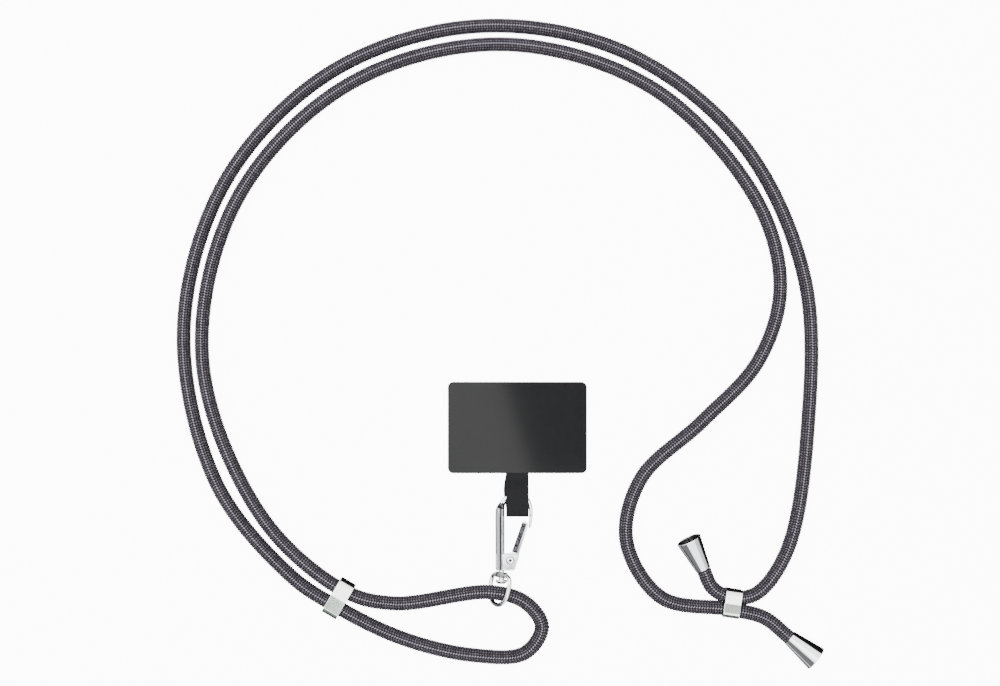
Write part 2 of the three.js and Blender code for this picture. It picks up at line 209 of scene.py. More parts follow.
def paint(
    tree: NodeTree,
    shader: Node,
    share: NodeSocket,
    shades: tuple[str, str],
    relief: tuple[NodeSocket, float, float] | None = None,
) -> None:
    """Gives a surface two shades and, where asked, a fine relief.

    Args:
        tree: The material's tree.
        shader: Its shader.
        share: How much of the second shade shows, from 0 to 1.
        shades: The two shades.
        relief: Its height, its strength and its depth in metres.
    """
    colours = {0: share, 6: linear(shades[0]), 7: linear(shades[1])}
    colour = add_node(tree, "ShaderNodeMix", colours, data_type="RGBA").outputs[2]
    tree.links.new(colour, shader.inputs["Base Color"])
    if relief:
        height, strength, depth = relief
        bump = add_node(tree, "ShaderNodeBump", {"Height": height, "Strength": strength, "Distance": depth})
        tree.links.new(bump.outputs["Normal"], shader.inputs["Normal"])


def new_tree(name: str, inputs: dict[str, str]) -> tuple[NodeTree, NodeOutputs]:
    """Makes a Geometry Nodes tree with named inputs.

    Args:
        name: The tree's name.
        inputs: Each input's name and what it takes.

    Returns:
        The tree and its inputs' sockets.
    """
    tree = bpy.data.node_groups.new(name, "GeometryNodeTree")
    for label, kind in inputs.items():
        tree.interface.new_socket(label, in_out="INPUT", socket_type=f"NodeSocket{kind}")
    tree.interface.new_socket("Geometry", in_out="OUTPUT", socket_type="NodeSocketGeometry")
    return tree, add_node(tree, "NodeGroupInput").outputs


def grow(name: str, tree: NodeTree, values: dict[str, object]) -> Object:
    """Runs a Geometry Nodes tree once and keeps its result as a plain mesh.

    Args:
        name: The piece's name.
        tree: The tree, whose output needs no input geometry.
        values: The tree's inputs by name.

    Returns:
        The piece, at the origin, with no modifier left.
    """
    holder = link(f"{name}_holder", bpy.data.meshes.new(f"{name}_holder"))
    modifier = holder.modifiers.new(tree.name, "NODES")
    modifier.node_group = tree
    for item in tree.interface.items_tree:
        if item.in_out == "INPUT" and item.name in values:
            modifier[item.identifier] = values[item.name]
    bpy.context.view_layer.update()
    evaluated = holder.evaluated_get(bpy.context.evaluated_depsgraph_get())
    mesh = bpy.data.meshes.new_from_object(evaluated)
    bpy.data.objects.remove(holder)
    mesh.name = name
    return link(name, mesh)


def link_line(name: str, points: np.ndarray, closed: bool) -> Object:
    """Puts a curve of straight steps into the scene.

    Args:
        name: The object's name.
        points: The curve's points.
        closed: Whether its last point joins its first.

    Returns:
        The new curve, at the origin.
    """
    curve = bpy.data.curves.new(name, "CURVE")
    curve.dimensions = "3D"
    spline = curve.splines.new("POLY")
    spline.points.add(len(points) - 1)
    spline.points.foreach_set("co", np.column_stack([points, np.ones(len(points))]).ravel())
    spline.use_cyclic_u = closed
    return link(name, curve)


def link(name: str, data: ID) -> Object:
    """Puts a mesh, curve, camera or light into the scene.

    Args:
        name: The object's name.
        data: What it shows.

    Returns:
        The new object, at the origin.
    """
    thing = bpy.data.objects.new(name, data)
    bpy.context.scene.collection.objects.link(thing)
    return thing


def sheet(
    name: str, points: list[tuple[float, float, float]], faces: list[tuple[int, ...]]
) -> Object:
    """Makes a mesh piece from points and faces.

    Args:
        name: The piece's name.
        points: Its points.
        faces: Each face's points by number.

    Returns:
        The new piece.
    """
    mesh = bpy.data.meshes.new(name)
    mesh.from_pydata(points, [], faces)
    return link(name, mesh)


def settle(piece: Object, body: Body, node: str) -> None:
    """Makes a piece ride on its body in place of its CAD node, and reports it.

    Args:
        piece: The finished piece.
        body: The body it moves with.
        node: The CAD node it stands for.
    """
    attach(piece, body.value)
    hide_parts(node)
    LOG.info("%s: %d faces on %s", piece.name, len(piece.data.polygons), body.value)


def smooth_line(points: np.ndarray, step: float) -> np.ndarray:
    """Draws a centripetal Catmull-Rom curve through points.

    Args:
        points: The points, one a row.
        step: About how far apart the samples lie.

    Returns:
        The samples, one a row, from the first point to the last.
    """
    padded = np.vstack([2 * points[0] - points[1], points, 2 * points[-1] - points[-2]])
    line = []
    for before, start, end, after in zip(padded, padded[1:], padded[2:], padded[3:]):
        legs = ((before, start), (start, end), (end, after))
        first, middle, last = (np.linalg.norm(b - a) ** 0.5 for a, b in legs)
        leave = (start - before) / first - (end - before) / (first + middle) + (end - start) / middle
        arrive = (end - start) / middle - (after - start) / (middle + last) + (after - end) / last
        leave = leave * middle
        arrive = arrive * middle
        count = max(2, math.ceil(np.linalg.norm(end - start) / step))
        t = np.linspace(0, 1, count, endpoint=False)[:, None]
        square = -3 * start + 3 * end - 2 * leave - arrive
        cube = 2 * start - 2 * end + leave + arrive
        line.append(start + leave * t + square * t**2 + cube * t**3)
    line.append(points[-1:])
    return np.vstack(line)


def loft(name: str, rings: np.ndarray, closed: bool = False) -> Object:
    """Joins rings of points into a skin, whose faces are turned outwards.

    Args:
        name: The piece's name.
        rings: Rings by points by coordinates, all rings with the same number of points.
        closed: Whether the last ring joins the first, or else both ends get a face.

    Returns:
        The new piece.
    """
    count, sides, _ = rings.shape
    ring = np.arange(count if closed else count - 1)[:, None]
    side = np.arange(sides)[None, :]
    after = (ring + 1) % count
    turn = (side + 1) % sides
    square = [ring * sides + side, ring * sides + turn, after * sides + turn, after * sides + side]
    faces = np.stack(square, axis=-1).reshape(-1, 4).tolist()
    if not closed:
        faces += [list(range(sides)), list(range((count - 1) * sides, count * sides))]
    piece = sheet(name, rings.reshape(-1, 3).tolist(), faces)
    tidy(piece.data)
    return piece


def tidy(mesh: Mesh) -> None:
    """Merges a mesh's doubles and turns its faces outwards.

    Args:
        mesh: The mesh.
    """
    shape = bmesh.new()
    shape.from_mesh(mesh)
    bmesh.ops.remove_doubles(shape, verts=shape.verts, dist=DOUBLE_GAP)
    bmesh.ops.recalc_face_normals(shape, faces=shape.faces)
    shape.to_mesh(mesh)
    shape.free()


def lathe(name: str, profile: np.ndarray | list[tuple[float, float]], sides: int) -> Object:
    """Turns a profile round the Y axis.

    Args:
        name: The piece's name.
        profile: Radius and place along the axis, from the axis back to the axis.
        sides: How many sides the round has.

    Returns:
        The new piece, about the Y axis.
    """
    turn = np.linspace(0, math.tau, sides, endpoint=False)
    rings = [
        np.column_stack([radius * np.cos(turn), np.full(sides, along), radius * np.sin(turn)])
        for radius, along in profile
    ]
    return loft(name, np.array(rings))


def rod(name: str, radius: float, start: float, end: float, sides: int = 48) -> Object:
    """Makes a plain cylinder about the Y axis.

    Args:
        name: The piece's name.
        radius: Its radius.
        start: Where it starts on the axis.
        end: Where it ends.
        sides: How many sides the round has.

    Returns:
        The new piece.
    """
    return lathe(name, [(0, start), (radius, start), (radius, end), (0, end)], sides)


def rounded(points: list[tuple[float, float]], radii: Sequence[float], steps: int = 6) -> np.ndarray:
    """Rounds the corners of an open or closed line of points.

    Args:
        points: The corners.
        radii: Each corner's radius, 0 for a sharp one.
        steps: How many steps each round takes.

    Returns:
        The rounded line's points.
    """
    line = []
    for index, (corner, radius) in enumerate(zip(points, radii)):
        here = np.array(corner, float)
        if radius == 0:
            line.append(here)
            continue
        back = np.array(points[index - 1]) - here
        ahead = np.array(points[(index + 1) % len(points)]) - here
        back /= np.linalg.norm(back)
        ahead /= np.linalg.norm(ahead)
        half = math.acos(float(np.clip(back @ ahead, -1, 1))) / 2
        reach = radius / math.tan(half)
        centre = here + (back + ahead) / np.linalg.norm(back + ahead) * radius / math.sin(half)
        start = here + back * reach - centre
        end = here + ahead * reach - centre
        sweep = math.pi - 2 * half
        for share in np.linspace(0, 1, steps + 1):
            mix = math.sin((1 - share) * sweep) * start + math.sin(share * sweep) * end
            line.append(centre + mix / math.sin(sweep))
    return np.array(line)


def plate(name: str, outline: np.ndarray, thickness: float) -> Object:
    """Makes a flat plate from an outline, with its middle at height 0.

    Args:
        name: The piece's name.
        outline: The outline's points.
        thickness: How thick it is.

    Returns:
        The new piece.
    """
    low = np.column_stack([outline, np.full(len(outline), -thickness / 2)])
    return loft(name, np.array([low, low + (0, 0, thickness)]))


def bevel(piece: Object, width: float, segments: int = 3, angle: float = 40.0) -> None:
    """Rounds a piece's sharp edges.

    Args:
        piece: The piece.
        width: The round's width.
        segments: How many steps it takes.
        angle: Edges bent more than this, in degrees, are rounded.
    """
    rounding = piece.modifiers.new("bevel", "BEVEL")
    rounding.width = width
    rounding.segments = segments
    rounding.limit_method = "ANGLE"
    rounding.angle_limit = math.radians(angle)


def combine(piece: Object, other: Object, operation: str) -> None:
    """Cuts another piece from this one or joins it on, and removes the other.

    Args:
        piece: The piece that is kept.
        other: The piece that is used up.
        operation: DIFFERENCE or UNION.
    """
    bake(other)
    change = piece.modifiers.new(operation.lower(), "BOOLEAN")
    change.operation = operation
    change.object = other
    change.solver = "EXACT"
    change.material_mode = "TRANSFER"
    bake(piece)
    bpy.data.objects.remove(other)


def bake(piece: Object) -> None:
    """Turns a piece's modifiers into plain mesh.

    Args:
        piece: The piece.
    """
    if piece.modifiers:
        bpy.context.view_layer.update()
        evaluated = piece.evaluated_get(bpy.context.evaluated_depsgraph_get())
        piece.data = bpy.data.meshes.new_from_object(evaluated)
        piece.modifiers.clear()


def dress(piece: Object, *materials: Material, angle: float = 35.0) -> None:
    """Gives a piece its materials and a smooth shading that keeps its flat faces flat.

    Args:
        piece: The piece.
        *materials: Its materials, the main one first.
        angle: Edges bent more than this, in degrees, stay sharp.
    """
    bake(piece)
    mesh = piece.data
    mesh.materials.clear()
    for material in materials:
        mesh.materials.append(material)
    mesh.shade_smooth()
    mesh.set_sharp_from_angle(angle=math.radians(angle))
    weighing = piece.modifiers.new("normals", "WEIGHTED_NORMAL")
    weighing.keep_sharp = True
    bake(piece)
    piece.data.name = piece.name


@dataclass(frozen=True)
class BraidFinish:
    """Polyester filament yarn, braided and heat set: soft lustre, no gloss, and a painted highlight on each
    stitch's crown.
    """

    dark: str = "#2b272e"
    # The colour of the painted highlight on each stitch's crown.
    light: str = "#b9b3bf"
    # The painted shade in the gaps between stitches, mixed with the yarn's dark shade on the core.
    gap_shade: str = "#0e0d11"
    grain: float = 0.4 * MM
    filament: float = 0.09 * MM
    filament_strength: float = 0.35
    highlight_along: tuple[float, float] = (0.08, 0.3)
    highlight_across: tuple[float, float] = (0.15, 0.45)

    def yarn(self) -> Material:
        """Makes the yarn, with a painted highlight on each stitch's crown, strongest along the top column,
        and fine filaments along it.
        """
        material, tree, shader = new_material(
            "polyester_yarn_braided", {"Roughness": 0.5, "Specular IOR Level": 0.12}
        )
        # Each stitch's painted highlight: its stored glint strength, narrowed to a spot on its crown.
        highlight = add_node(tree, "ShaderNodeAttribute", attribute_name="tint").outputs["Fac"]
        uv = add_node(tree, "ShaderNodeUVMap", uv_map="UVMap").outputs["UV"]
        leaf = add_node(tree, "ShaderNodeSeparateXYZ", {0: uv}).outputs
        for place, (near, far) in zip(leaf, (self.highlight_along, self.highlight_across)):
            away = add_node(tree, "ShaderNodeMath", {0: place}, operation="ABSOLUTE").outputs[0]
            fade = {0: away, 1: near, 2: far, 3: 1.0, 4: 0.0}
            lit = add_node(tree, "ShaderNodeMapRange", fade, interpolation_type="SMOOTHSTEP").outputs[0]
            highlight = add_node(tree, "ShaderNodeMath", {0: highlight, 1: lit}, operation="MULTIPLY").outputs[0]
        wave = {"Vector": uv, "Scale": 1.6, "Distortion": 1.2, "Detail": 1.0}
        lines = add_node(tree, "ShaderNodeTexWave", wave, bands_direction="Y").outputs["Fac"]
        relief = (lines, self.filament_strength, self.filament)
        paint(tree, shader, highlight, (self.dark, self.light), relief)
        return material

    def core(self) -> Material:
        """Makes the core's material: near-black painted shade for the gaps between stitches."""
        material, tree, shader = new_material(
            "polyester_core_in_shade", {"Roughness": 0.8, "Specular IOR Level": 0.1}
        )
        place = add_node(tree, "ShaderNodeTexCoord").outputs["Object"]
        grain = add_node(tree, "ShaderNodeTexNoise", {"Vector": place, "Scale": 1 / self.grain})
        paint(tree, shader, grain.outputs["Fac"], (self.gap_shade, self.dark))
        return material


class Plating(Enum):
    """The platings: the material's name, its colour, and its roughness where buffed and where handled."""

    POLISHED = ("zinc_alloy_cast_chrome_plated", "#dcdddf", 0.04, 0.12)
    SATIN = ("steel_band_rolled_satin_nickel", "#d3d9d3", 0.1, 0.15)


@dataclass(frozen=True)
class PlatedFinish:
    """Bright plating: chrome over cast zinc is a mirror, satin nickel a soft one with a cool cast; and a
    chrome with painted shade and a painted dark reflection line for the hook's spine.
    """

    smudge: float = 2.5 * MM
    buffing: float = 0.25 * MM
    buffing_strength: float = 0.015
    buffing_depth: float = 0.05 * MM
    # The spine's painted shade: grey at its edge, darker near the line, and the painted dark reflection
    # line; then where these lie across the spine, and the line's half width.
    spine_shades: tuple[str, str, str] = ("#9c9c9e", "#4a4a4c", "#1c1c1e")
    shade_start: float = -1.0 * MM
    shade_line: float = 1.1 * MM
    shade_end: float = 2.0 * MM
    shade_line_half: float = 0.15 * MM

    def plating(self, kind: Plating) -> Material:
        """Makes a plated metal, whose roughness drifts where it was buffed and handled.

        Args:
            kind: Which plating.

        Returns:
            The material.
        """
        name, colour, low, high = kind.value
        material, tree, shader = new_material(name, {"Base Color": linear(colour), "Metallic": 1.0})
        place = add_node(tree, "ShaderNodeTexCoord").outputs["Object"]
        noise = {"Vector": place, "Scale": 1 / self.smudge, "Detail": 3.0}
        smudges = add_node(tree, "ShaderNodeTexNoise", noise).outputs["Fac"]
        rough = add_node(tree, "ShaderNodeMapRange", {0: smudges, 3: low, 4: high}).outputs[0]
        noise = {"Vector": place, "Scale": 1 / self.buffing, "Detail": 2.0}
        marks = add_node(tree, "ShaderNodeTexNoise", noise).outputs["Fac"]
        relief = {"Height": marks, "Strength": self.buffing_strength, "Distance": self.buffing_depth}
        bump = add_node(tree, "ShaderNodeBump", relief).outputs["Normal"]
        tree.links.new(rough, shader.inputs["Roughness"])
        tree.links.new(bump, shader.inputs["Normal"])
        return material

    def crease(self) -> Material:
        """Makes the spine's face with painted shade: grey towards its crease, a painted dark reflection line
        in it, and chrome beyond.
        """
        _, chrome, _, dull = Plating.POLISHED.value
        material, tree, shader = new_material(
            "zinc_alloy_cast_chrome_creased", {"Metallic": 1.0, "Roughness": dull}
        )
        place = add_node(tree, "ShaderNodeTexCoord").outputs["Object"]
        x = add_node(tree, "ShaderNodeSeparateXYZ", {0: place}).outputs[0]
        noise = {"Vector": place, "Scale": 1 / self.smudge, "Detail": 3.0}
        waver = add_node(tree, "ShaderNodeTexNoise", noise).outputs["Fac"]
        span = {0: waver, 3: -self.shade_line_half, 4: self.shade_line_half}
        offset = add_node(tree, "ShaderNodeMapRange", span).outputs[0]
        x = add_node(tree, "ShaderNodeMath", {0: x, 1: offset}, operation="ADD").outputs[0]
        # Painted shade across the spine, then the painted dark reflection line, then chrome; the noise makes
        # the line waver.
        edge, near, line = (linear(shade) for shade in self.spine_shades)
        fade = 2 * self.shade_line_half
        steps = (
            (self.shade_start, self.shade_line, near),
            (self.shade_line - fade, self.shade_line - self.shade_line_half, line),
            (self.shade_line + self.shade_line_half, self.shade_line + fade, near),
            (self.shade_line + fade, self.shade_end, linear(chrome)),
        )
        colour = edge
        for start, end, shade in steps:
            share = add_node(tree, "ShaderNodeMapRange", {0: x, 1: start, 2: end}).outputs[0]
            blend = {0: share, 6: colour, 7: shade}
            colour = add_node(tree, "ShaderNodeMix", blend, data_type="RGBA").outputs[2]
        tree.links.new(colour, shader.inputs["Base Color"])
        return material


@dataclass(frozen=True)
class PaintedDarkMetal:
    """Dull metal in dark and paler patches, darker than the chrome round it: painted shade where it is used.
    """

    name: str
    shades: tuple[str, str]
    edges: tuple[float, float]
    roughness: float
    stretch: float = 1.0
    detail: float = 4.0
    patch: float = 0.625 * MM

    def material(self) -> Material:
        """Makes the dark metal, whose patches are stretched along Y."""
        material, tree, shader = new_material(self.name, {"Metallic": 1.0, "Roughness": self.roughness})
        place = add_node(tree, "ShaderNodeTexCoord").outputs["Object"]
        scale = {0: place, 1: (1.0, self.stretch, 1.0)}
        place = add_node(tree, "ShaderNodeVectorMath", scale, operation="MULTIPLY").outputs[0]
        noise = {"Vector": place, "Scale": 1 / self.patch, "Detail": self.detail}
        grain = add_node(tree, "ShaderNodeTexNoise", noise).outputs["Fac"]
        span = {0: grain, 1: self.edges[0], 2: self.edges[1]}
        patches = add_node(tree, "ShaderNodeMapRange", span).outputs[0]
        paint(tree, shader, patches, self.shades)
        return material


# Dark metal painted as shade inside the caps, the gate's channel, the rivet's dimples and rims, and on the
# spine's top corner; and the swivel's collar, painted darker grey with streaks as painted shade.
PAINTED_SHADE_METAL = PaintedDarkMetal("zinc_alloy_cast_unplated", ("#08080a", "#46464a"), (0.4, 0.62), 0.4)
COLLAR_PAINTED_SHADE = PaintedDarkMetal(
    "zinc_alloy_turned_plating_rubbed", ("#242426", "#68686b"), (0.35, 0.6), 0.28, stretch=0.12, detail=2.0
)


@dataclass(frozen=True)
class WebbingFinish:
    """Nylon webbing, woven close and dyed black: matt, with a faint sheen on the ribs."""

    thread: str = "#1b1b1c"
    wear_and_painted_shade: str = "#2a2a2c"
    fibre: float = 0.12 * MM
    fibre_strength: float = 0.3
    fibre_depth: float = 0.03 * MM

    def material(self) -> Material:
        """Makes the webbing's material."""
        material, tree, shader = new_material(
            "nylon_webbing_woven_black", {"Roughness": 0.75, "Specular IOR Level": 0.08}
        )
        place = add_node(tree, "ShaderNodeTexCoord").outputs["Object"]
        noise = {"Vector": place, "Scale": 1 / self.fibre, "Detail": 3.0}
        fibres = add_node(tree, "ShaderNodeTexNoise", noise).outputs["Fac"]
        relief = (fibres, self.fibre_strength, self.fibre_depth)
        paint(tree, shader, fibres, (self.thread, self.wear_and_painted_shade), relief)
        return material


@dataclass(frozen=True)
class PatchFinish:
    """Polyester cloth under a clear film: even charcoal with a faint weave, and soft reflections."""

    cloth: str = "#29292a"
    edge: str = "#1a1a1b"
    layer: str = "#161617"
    cloud: float = 9 * MM
    cloud_share: tuple[float, float] = (0.25, 0.6)
    thread: float = 0.35 * MM
    thread_strength: float = 0.25
    thread_depth: float = 0.04 * MM

    def face(self) -> Material:
        """Makes the laminated face, whose threads are drawn at their real spacing."""
        material, tree, shader = new_material(
            "polyester_cloth_film_laminated",
            {"Roughness": 0.7, "Specular IOR Level": 0.05, "Coat Weight": 0.2, "Coat Roughness": 0.07},
        )
        place = add_node(tree, "ShaderNodeTexCoord").outputs["Object"]
        wave = {"Vector": place, "Scale": WAVE_PERIOD / self.thread}
        threads = [
            add_node(tree, "ShaderNodeTexWave", wave, bands_direction=axis).outputs["Fac"] for axis in "XY"
        ]
        weave = {0: threads[0], 1: threads[1]}
        weave = add_node(tree, "ShaderNodeMath", weave, operation="MULTIPLY").outputs[0]
        noise = {"Vector": place, "Scale": 1 / self.cloud, "Detail": 4.0}
        clouds = add_node(tree, "ShaderNodeTexNoise", noise).outputs["Fac"]
        span = {0: clouds, 3: self.cloud_share[0], 4: self.cloud_share[1]}
        drift = add_node(tree, "ShaderNodeMapRange", span).outputs[0]
        relief = (weave, self.thread_strength, self.thread_depth)
        paint(tree, shader, drift, (self.edge, self.cloth), relief)
        return material

    def rim(self) -> Material:
        """Makes the cut edge, where the cloth's layers show darker than the film."""
        material, tree, shader = new_material(
            "polyester_cloth_cut_edge", {"Roughness": 0.75, "Specular IOR Level": 0.1}
        )
        place = add_node(tree, "ShaderNodeTexCoord").outputs["Object"]
        wave = {"Vector": place, "Scale": WAVE_PERIOD / self.thread, "Distortion": 1.5}
        layers = add_node(tree, "ShaderNodeTexWave", wave, bands_direction="Z").outputs["Fac"]
        paint(tree, shader, layers, (self.layer, self.edge))
        return material


@dataclass(frozen=True)
class Card:
    """A card of the studio that only reflections see: where it stands, and how bright it is."""

    azimuth: float
    spread: float
    low: float
    high: float
    bright: float


# What the metal reflects: a grey table, a dark end of the room with dark table before it, and grey walls.
STUDIO_CARDS = (
    Card(azimuth=0, spread=190, low=-90, high=-4, bright=0.3),
    Card(azimuth=0, spread=40, low=-8, high=38, bright=0.35),
    Card(azimuth=90, spread=42, low=-90, high=22, bright=0.004),
    Card(azimuth=40, spread=45, low=-90, high=2, bright=0.004),
    Card(azimuth=270, spread=40, low=-90, high=-22, bright=0.05),
    Card(azimuth=220, spread=33, low=-6, high=52, bright=0.07),
)


@dataclass(frozen=True)
class Flag:
    """A panel near the strap that only reflections see: its corners, how bright it is and its colour."""

    corners: tuple[tuple[float, float, float], ...]
    bright: float
    colour: str


# How high the level panels hang, and where the upright ones stand beside each slider.
PANEL_HEIGHT = 1.5
LOOP_SIDE = ((-0.1046, -0.112), (-0.0529, -0.1424))
LENGTH_SIDE = ((0.0861, -0.1159), (0.1009, -0.1181))


def overhead(*outline: tuple[float, float]) -> tuple[tuple[float, float, float], ...]:
    """Returns the corners of a level panel that hangs over an outline."""
    return tuple((x, y, PANEL_HEIGHT) for x, y in outline)


def standing(
    start: tuple[float, float], end: tuple[float, float], low: float, high: float
) -> tuple[tuple[float, float, float], ...]:
    """Returns the corners of an upright panel.

    Args:
        start: Where it starts on the ground.
        end: Where it ends on the ground.
        low: Its lower edge's height.
        high: Its upper edge's height.

    Returns:
        Its four corners.
    """
    return (*start, low), (*end, low), (*end, high), (*start, high)


# What the pad's film and the sliders' bands reflect: a dark panel overhead with a slanted edge, a grey one
# over each slider, and dark green ones that stand beside each slider, a paler one on the loop slider's.
STUDIO_FLAGS = (
    Flag(overhead((-0.008, 0.0), (0.2, 0.0), (0.2, -0.185), (0.0465, -0.185)), 0.01, "#ffffff"),
    Flag(overhead((-0.3, -0.13), (-0.085, -0.13), (-0.085, -0.34), (-0.3, -0.34)), 0.3, "#d6e8de"),
    Flag(overhead((0.21, -0.06), (0.46, -0.06), (0.46, -0.31), (0.21, -0.31)), 0.3, "#dae8e0"),
    Flag(standing(*LOOP_SIDE, -0.06, 0.02), 0.06, "#c0d2c8"),
    Flag(standing(*LOOP_SIDE, 0.02, 0.085), 0.17, "#d2e2d9"),
    Flag(standing(*LENGTH_SIDE, -0.06, 0.018), 0.08, "#c8dad0"),
)


@dataclass
class Studio:
    """A pale table, soft light from above and the camera straight over the strap."""

    centre: tuple[float, float] = (0.0008, 0.0004)
    focus_height: float = 3 * MM
    lens: float = 58.5
    sensor: float = 36.0
    floor_size: float = 6.0
    floor_gap: float = 0.05 * MM
    floor_glow: float = 11.0
    room_light: float = 0.6
    mirrored_light: float = 4.0
    softness: float = 2.5

    def camera(self) -> None:
        """Hangs the camera so that one pixel is MM_PER_PIXEL at the cord's middle height."""
        across = IMAGE_WIDTH * MM_PER_PIXEL * MM
        data = bpy.data.cameras.new("camera")
        data.lens = self.lens
        data.sensor_width = self.sensor
        camera = link("camera", data)
        height = self.focus_height + across * self.lens / self.sensor
        camera.location = (*self.centre, height)
        bpy.context.scene.camera = camera
        LOG.info("camera %.3f m above the table", height)

    def floor(self) -> None:
        """Lays the pale table under the strap."""
        half = self.floor_size / 2
        square = [(-half, -half, 0), (half, -half, 0), (half, half, 0), (-half, half, 0)]
        floor = sheet("floor", square, [(0, 1, 2, 3)])
        floor.location.z = -self.floor_gap
        material, tree, shader = new_material(
            "painted_board_white",
            {"Base Color": linear("#f4f4f5"), "Roughness": 0.6, "Emission Color": linear("#ffffff")},
        )
        seen = add_node(tree, "ShaderNodeLightPath").outputs["Is Camera Ray"]
        glow = add_node(tree, "ShaderNodeMath", {0: seen, 1: self.floor_glow}, operation="MULTIPLY")
        tree.links.new(glow.outputs[0], shader.inputs["Emission Strength"])
        floor.data.materials.append(material)
        floor.visible_glossy = False

    def light(self, name: str, place: tuple[float, float, float], size: float, power: float) -> None:
        """Adds a soft square light that faces the strap.

        Args:
            name: The light's name.
            place: Where it hangs.
            size: Its side.
            power: Its power in watts.
        """
        data = bpy.data.lights.new(name, "AREA")
        data.size = size
        data.energy = power
        light = link(name, data)
        light.location = place
        light.rotation_euler = (-Vector(place)).to_track_quat("-Z", "Y").to_euler()

    def world(self) -> None:
        """Fills the room with an even pale light, and stands cards in it that only reflections see."""
        world = bpy.data.worlds.new("room")
        world.use_nodes = True
        tree = world.node_tree
        tree.nodes.clear()
        white = linear("#ffffff")
        room = add_node(tree, "ShaderNodeBackground", {"Color": white, "Strength": self.room_light})
        heading = add_node(tree, "ShaderNodeTexCoord").outputs["Generated"]
        shade = 1.0
        for card in STUDIO_CARDS:
            turn = {"Vector": heading, "Angle": -math.radians(card.azimuth)}
            turned = add_node(tree, "ShaderNodeVectorRotate", turn, rotation_type="Z_AXIS").outputs[0]
            ray = add_node(tree, "ShaderNodeSeparateXYZ", {0: turned}).outputs
            swing = add_node(tree, "ShaderNodeMath", {0: ray[1], 1: ray[0]}, operation="ARCTAN2").outputs[0]
            aside = add_node(tree, "ShaderNodeMath", {0: swing}, operation="ABSOLUTE").outputs[0]
            rise = add_node(tree, "ShaderNodeMath", {0: ray[2]}, operation="ARCSINE").outputs[0]
            edges = ((aside, card.spread, 1, 0), (rise, card.low, 0, 1), (rise, card.high, 1, 0))
            cover = 1.0
            for value, edge, before, after in edges:
                near = math.radians(edge - self.softness)
                far = math.radians(edge + self.softness)
                fade = {0: value, 1: near, 2: far, 3: float(before), 4: float(after)}
                step = add_node(tree, "ShaderNodeMapRange", fade, interpolation_type="SMOOTHSTEP").outputs[0]
                both = {0: cover, 1: step}
                cover = add_node(tree, "ShaderNodeMath", both, operation="MULTIPLY").outputs[0]
            shade = add_node(tree, "ShaderNodeMix", {0: cover, 2: shade, 3: card.bright}).outputs[0]
        strength = {0: shade, 1: self.mirrored_light}
        strength = add_node(tree, "ShaderNodeMath", strength, operation="MULTIPLY").outputs[0]
        cards = add_node(tree, "ShaderNodeBackground", {"Color": white, "Strength": strength})
        mirrored = add_node(tree, "ShaderNodeLightPath").outputs["Is Glossy Ray"]
        views = {0: mirrored, 1: room.outputs[0], 2: cards.outputs[0]}
        view = add_node(tree, "ShaderNodeMixShader", views)
        add_node(tree, "ShaderNodeOutputWorld", {"Surface": view.outputs[0]})
        bpy.context.scene.world = world

    def flags(self) -> None:
        """Hangs the panels that only reflections see."""
        for number, flag in enumerate(STUDIO_FLAGS):
            panel = sheet(f"flag_{number}", list(flag.corners), [tuple(range(len(flag.corners)))])
            paint_values = {
                "Base Color": linear("#000000"),
                "Specular IOR Level": 0.0,
                "Emission Color": linear(flag.colour),
                "Emission Strength": flag.bright * self.mirrored_light,
            }
            panel.data.materials.append(new_material(f"painted_panel_{number}", paint_values)[0])
            for ray in ("camera", "diffuse", "transmission", "shadow"):
                setattr(panel, f"visible_{ray}", False)

    def build(self) -> None:
        """Sets up the whole studio."""
        self.camera()
        self.floor()
        self.flags()
        self.world()
        self.light("key", place=(-0.7, 0.6, 1.3), size=0.8, power=16.0)
        self.light("top", place=(0.1, -0.2, 1.6), size=1.2, power=12.0)


@dataclass
class SliderPlace:
    """Where a sliding ring sits on the cord's two strands."""

    x: float
    y: float
    angle: float
    strand_offset: float
    strand_width: float

    def away(self, points: np.ndarray) -> tuple[np.ndarray, np.ndarray]:
        """Returns how far points lie from the ring's middle, along its axis and to the side.

        Args:
            points: The points, one a row.

        Returns:
            The two distances of each point.
        """
        turn = math.radians(self.angle)
        rest = points[:, :2] - (self.x, self.y)
        along = np.abs(rest @ (math.cos(turn), math.sin(turn)))
        return along, np.abs(rest @ (-math.sin(turn), math.cos(turn)))


LOOP_SLIDER = SliderPlace(-0.0635, -0.1014, -30.5, 3.6 * MM, 6.0 * MM)
LENGTH_SLIDER = SliderPlace(0.0933, -0.1034, -8.5, 2.45 * MM, 4.4 * MM)


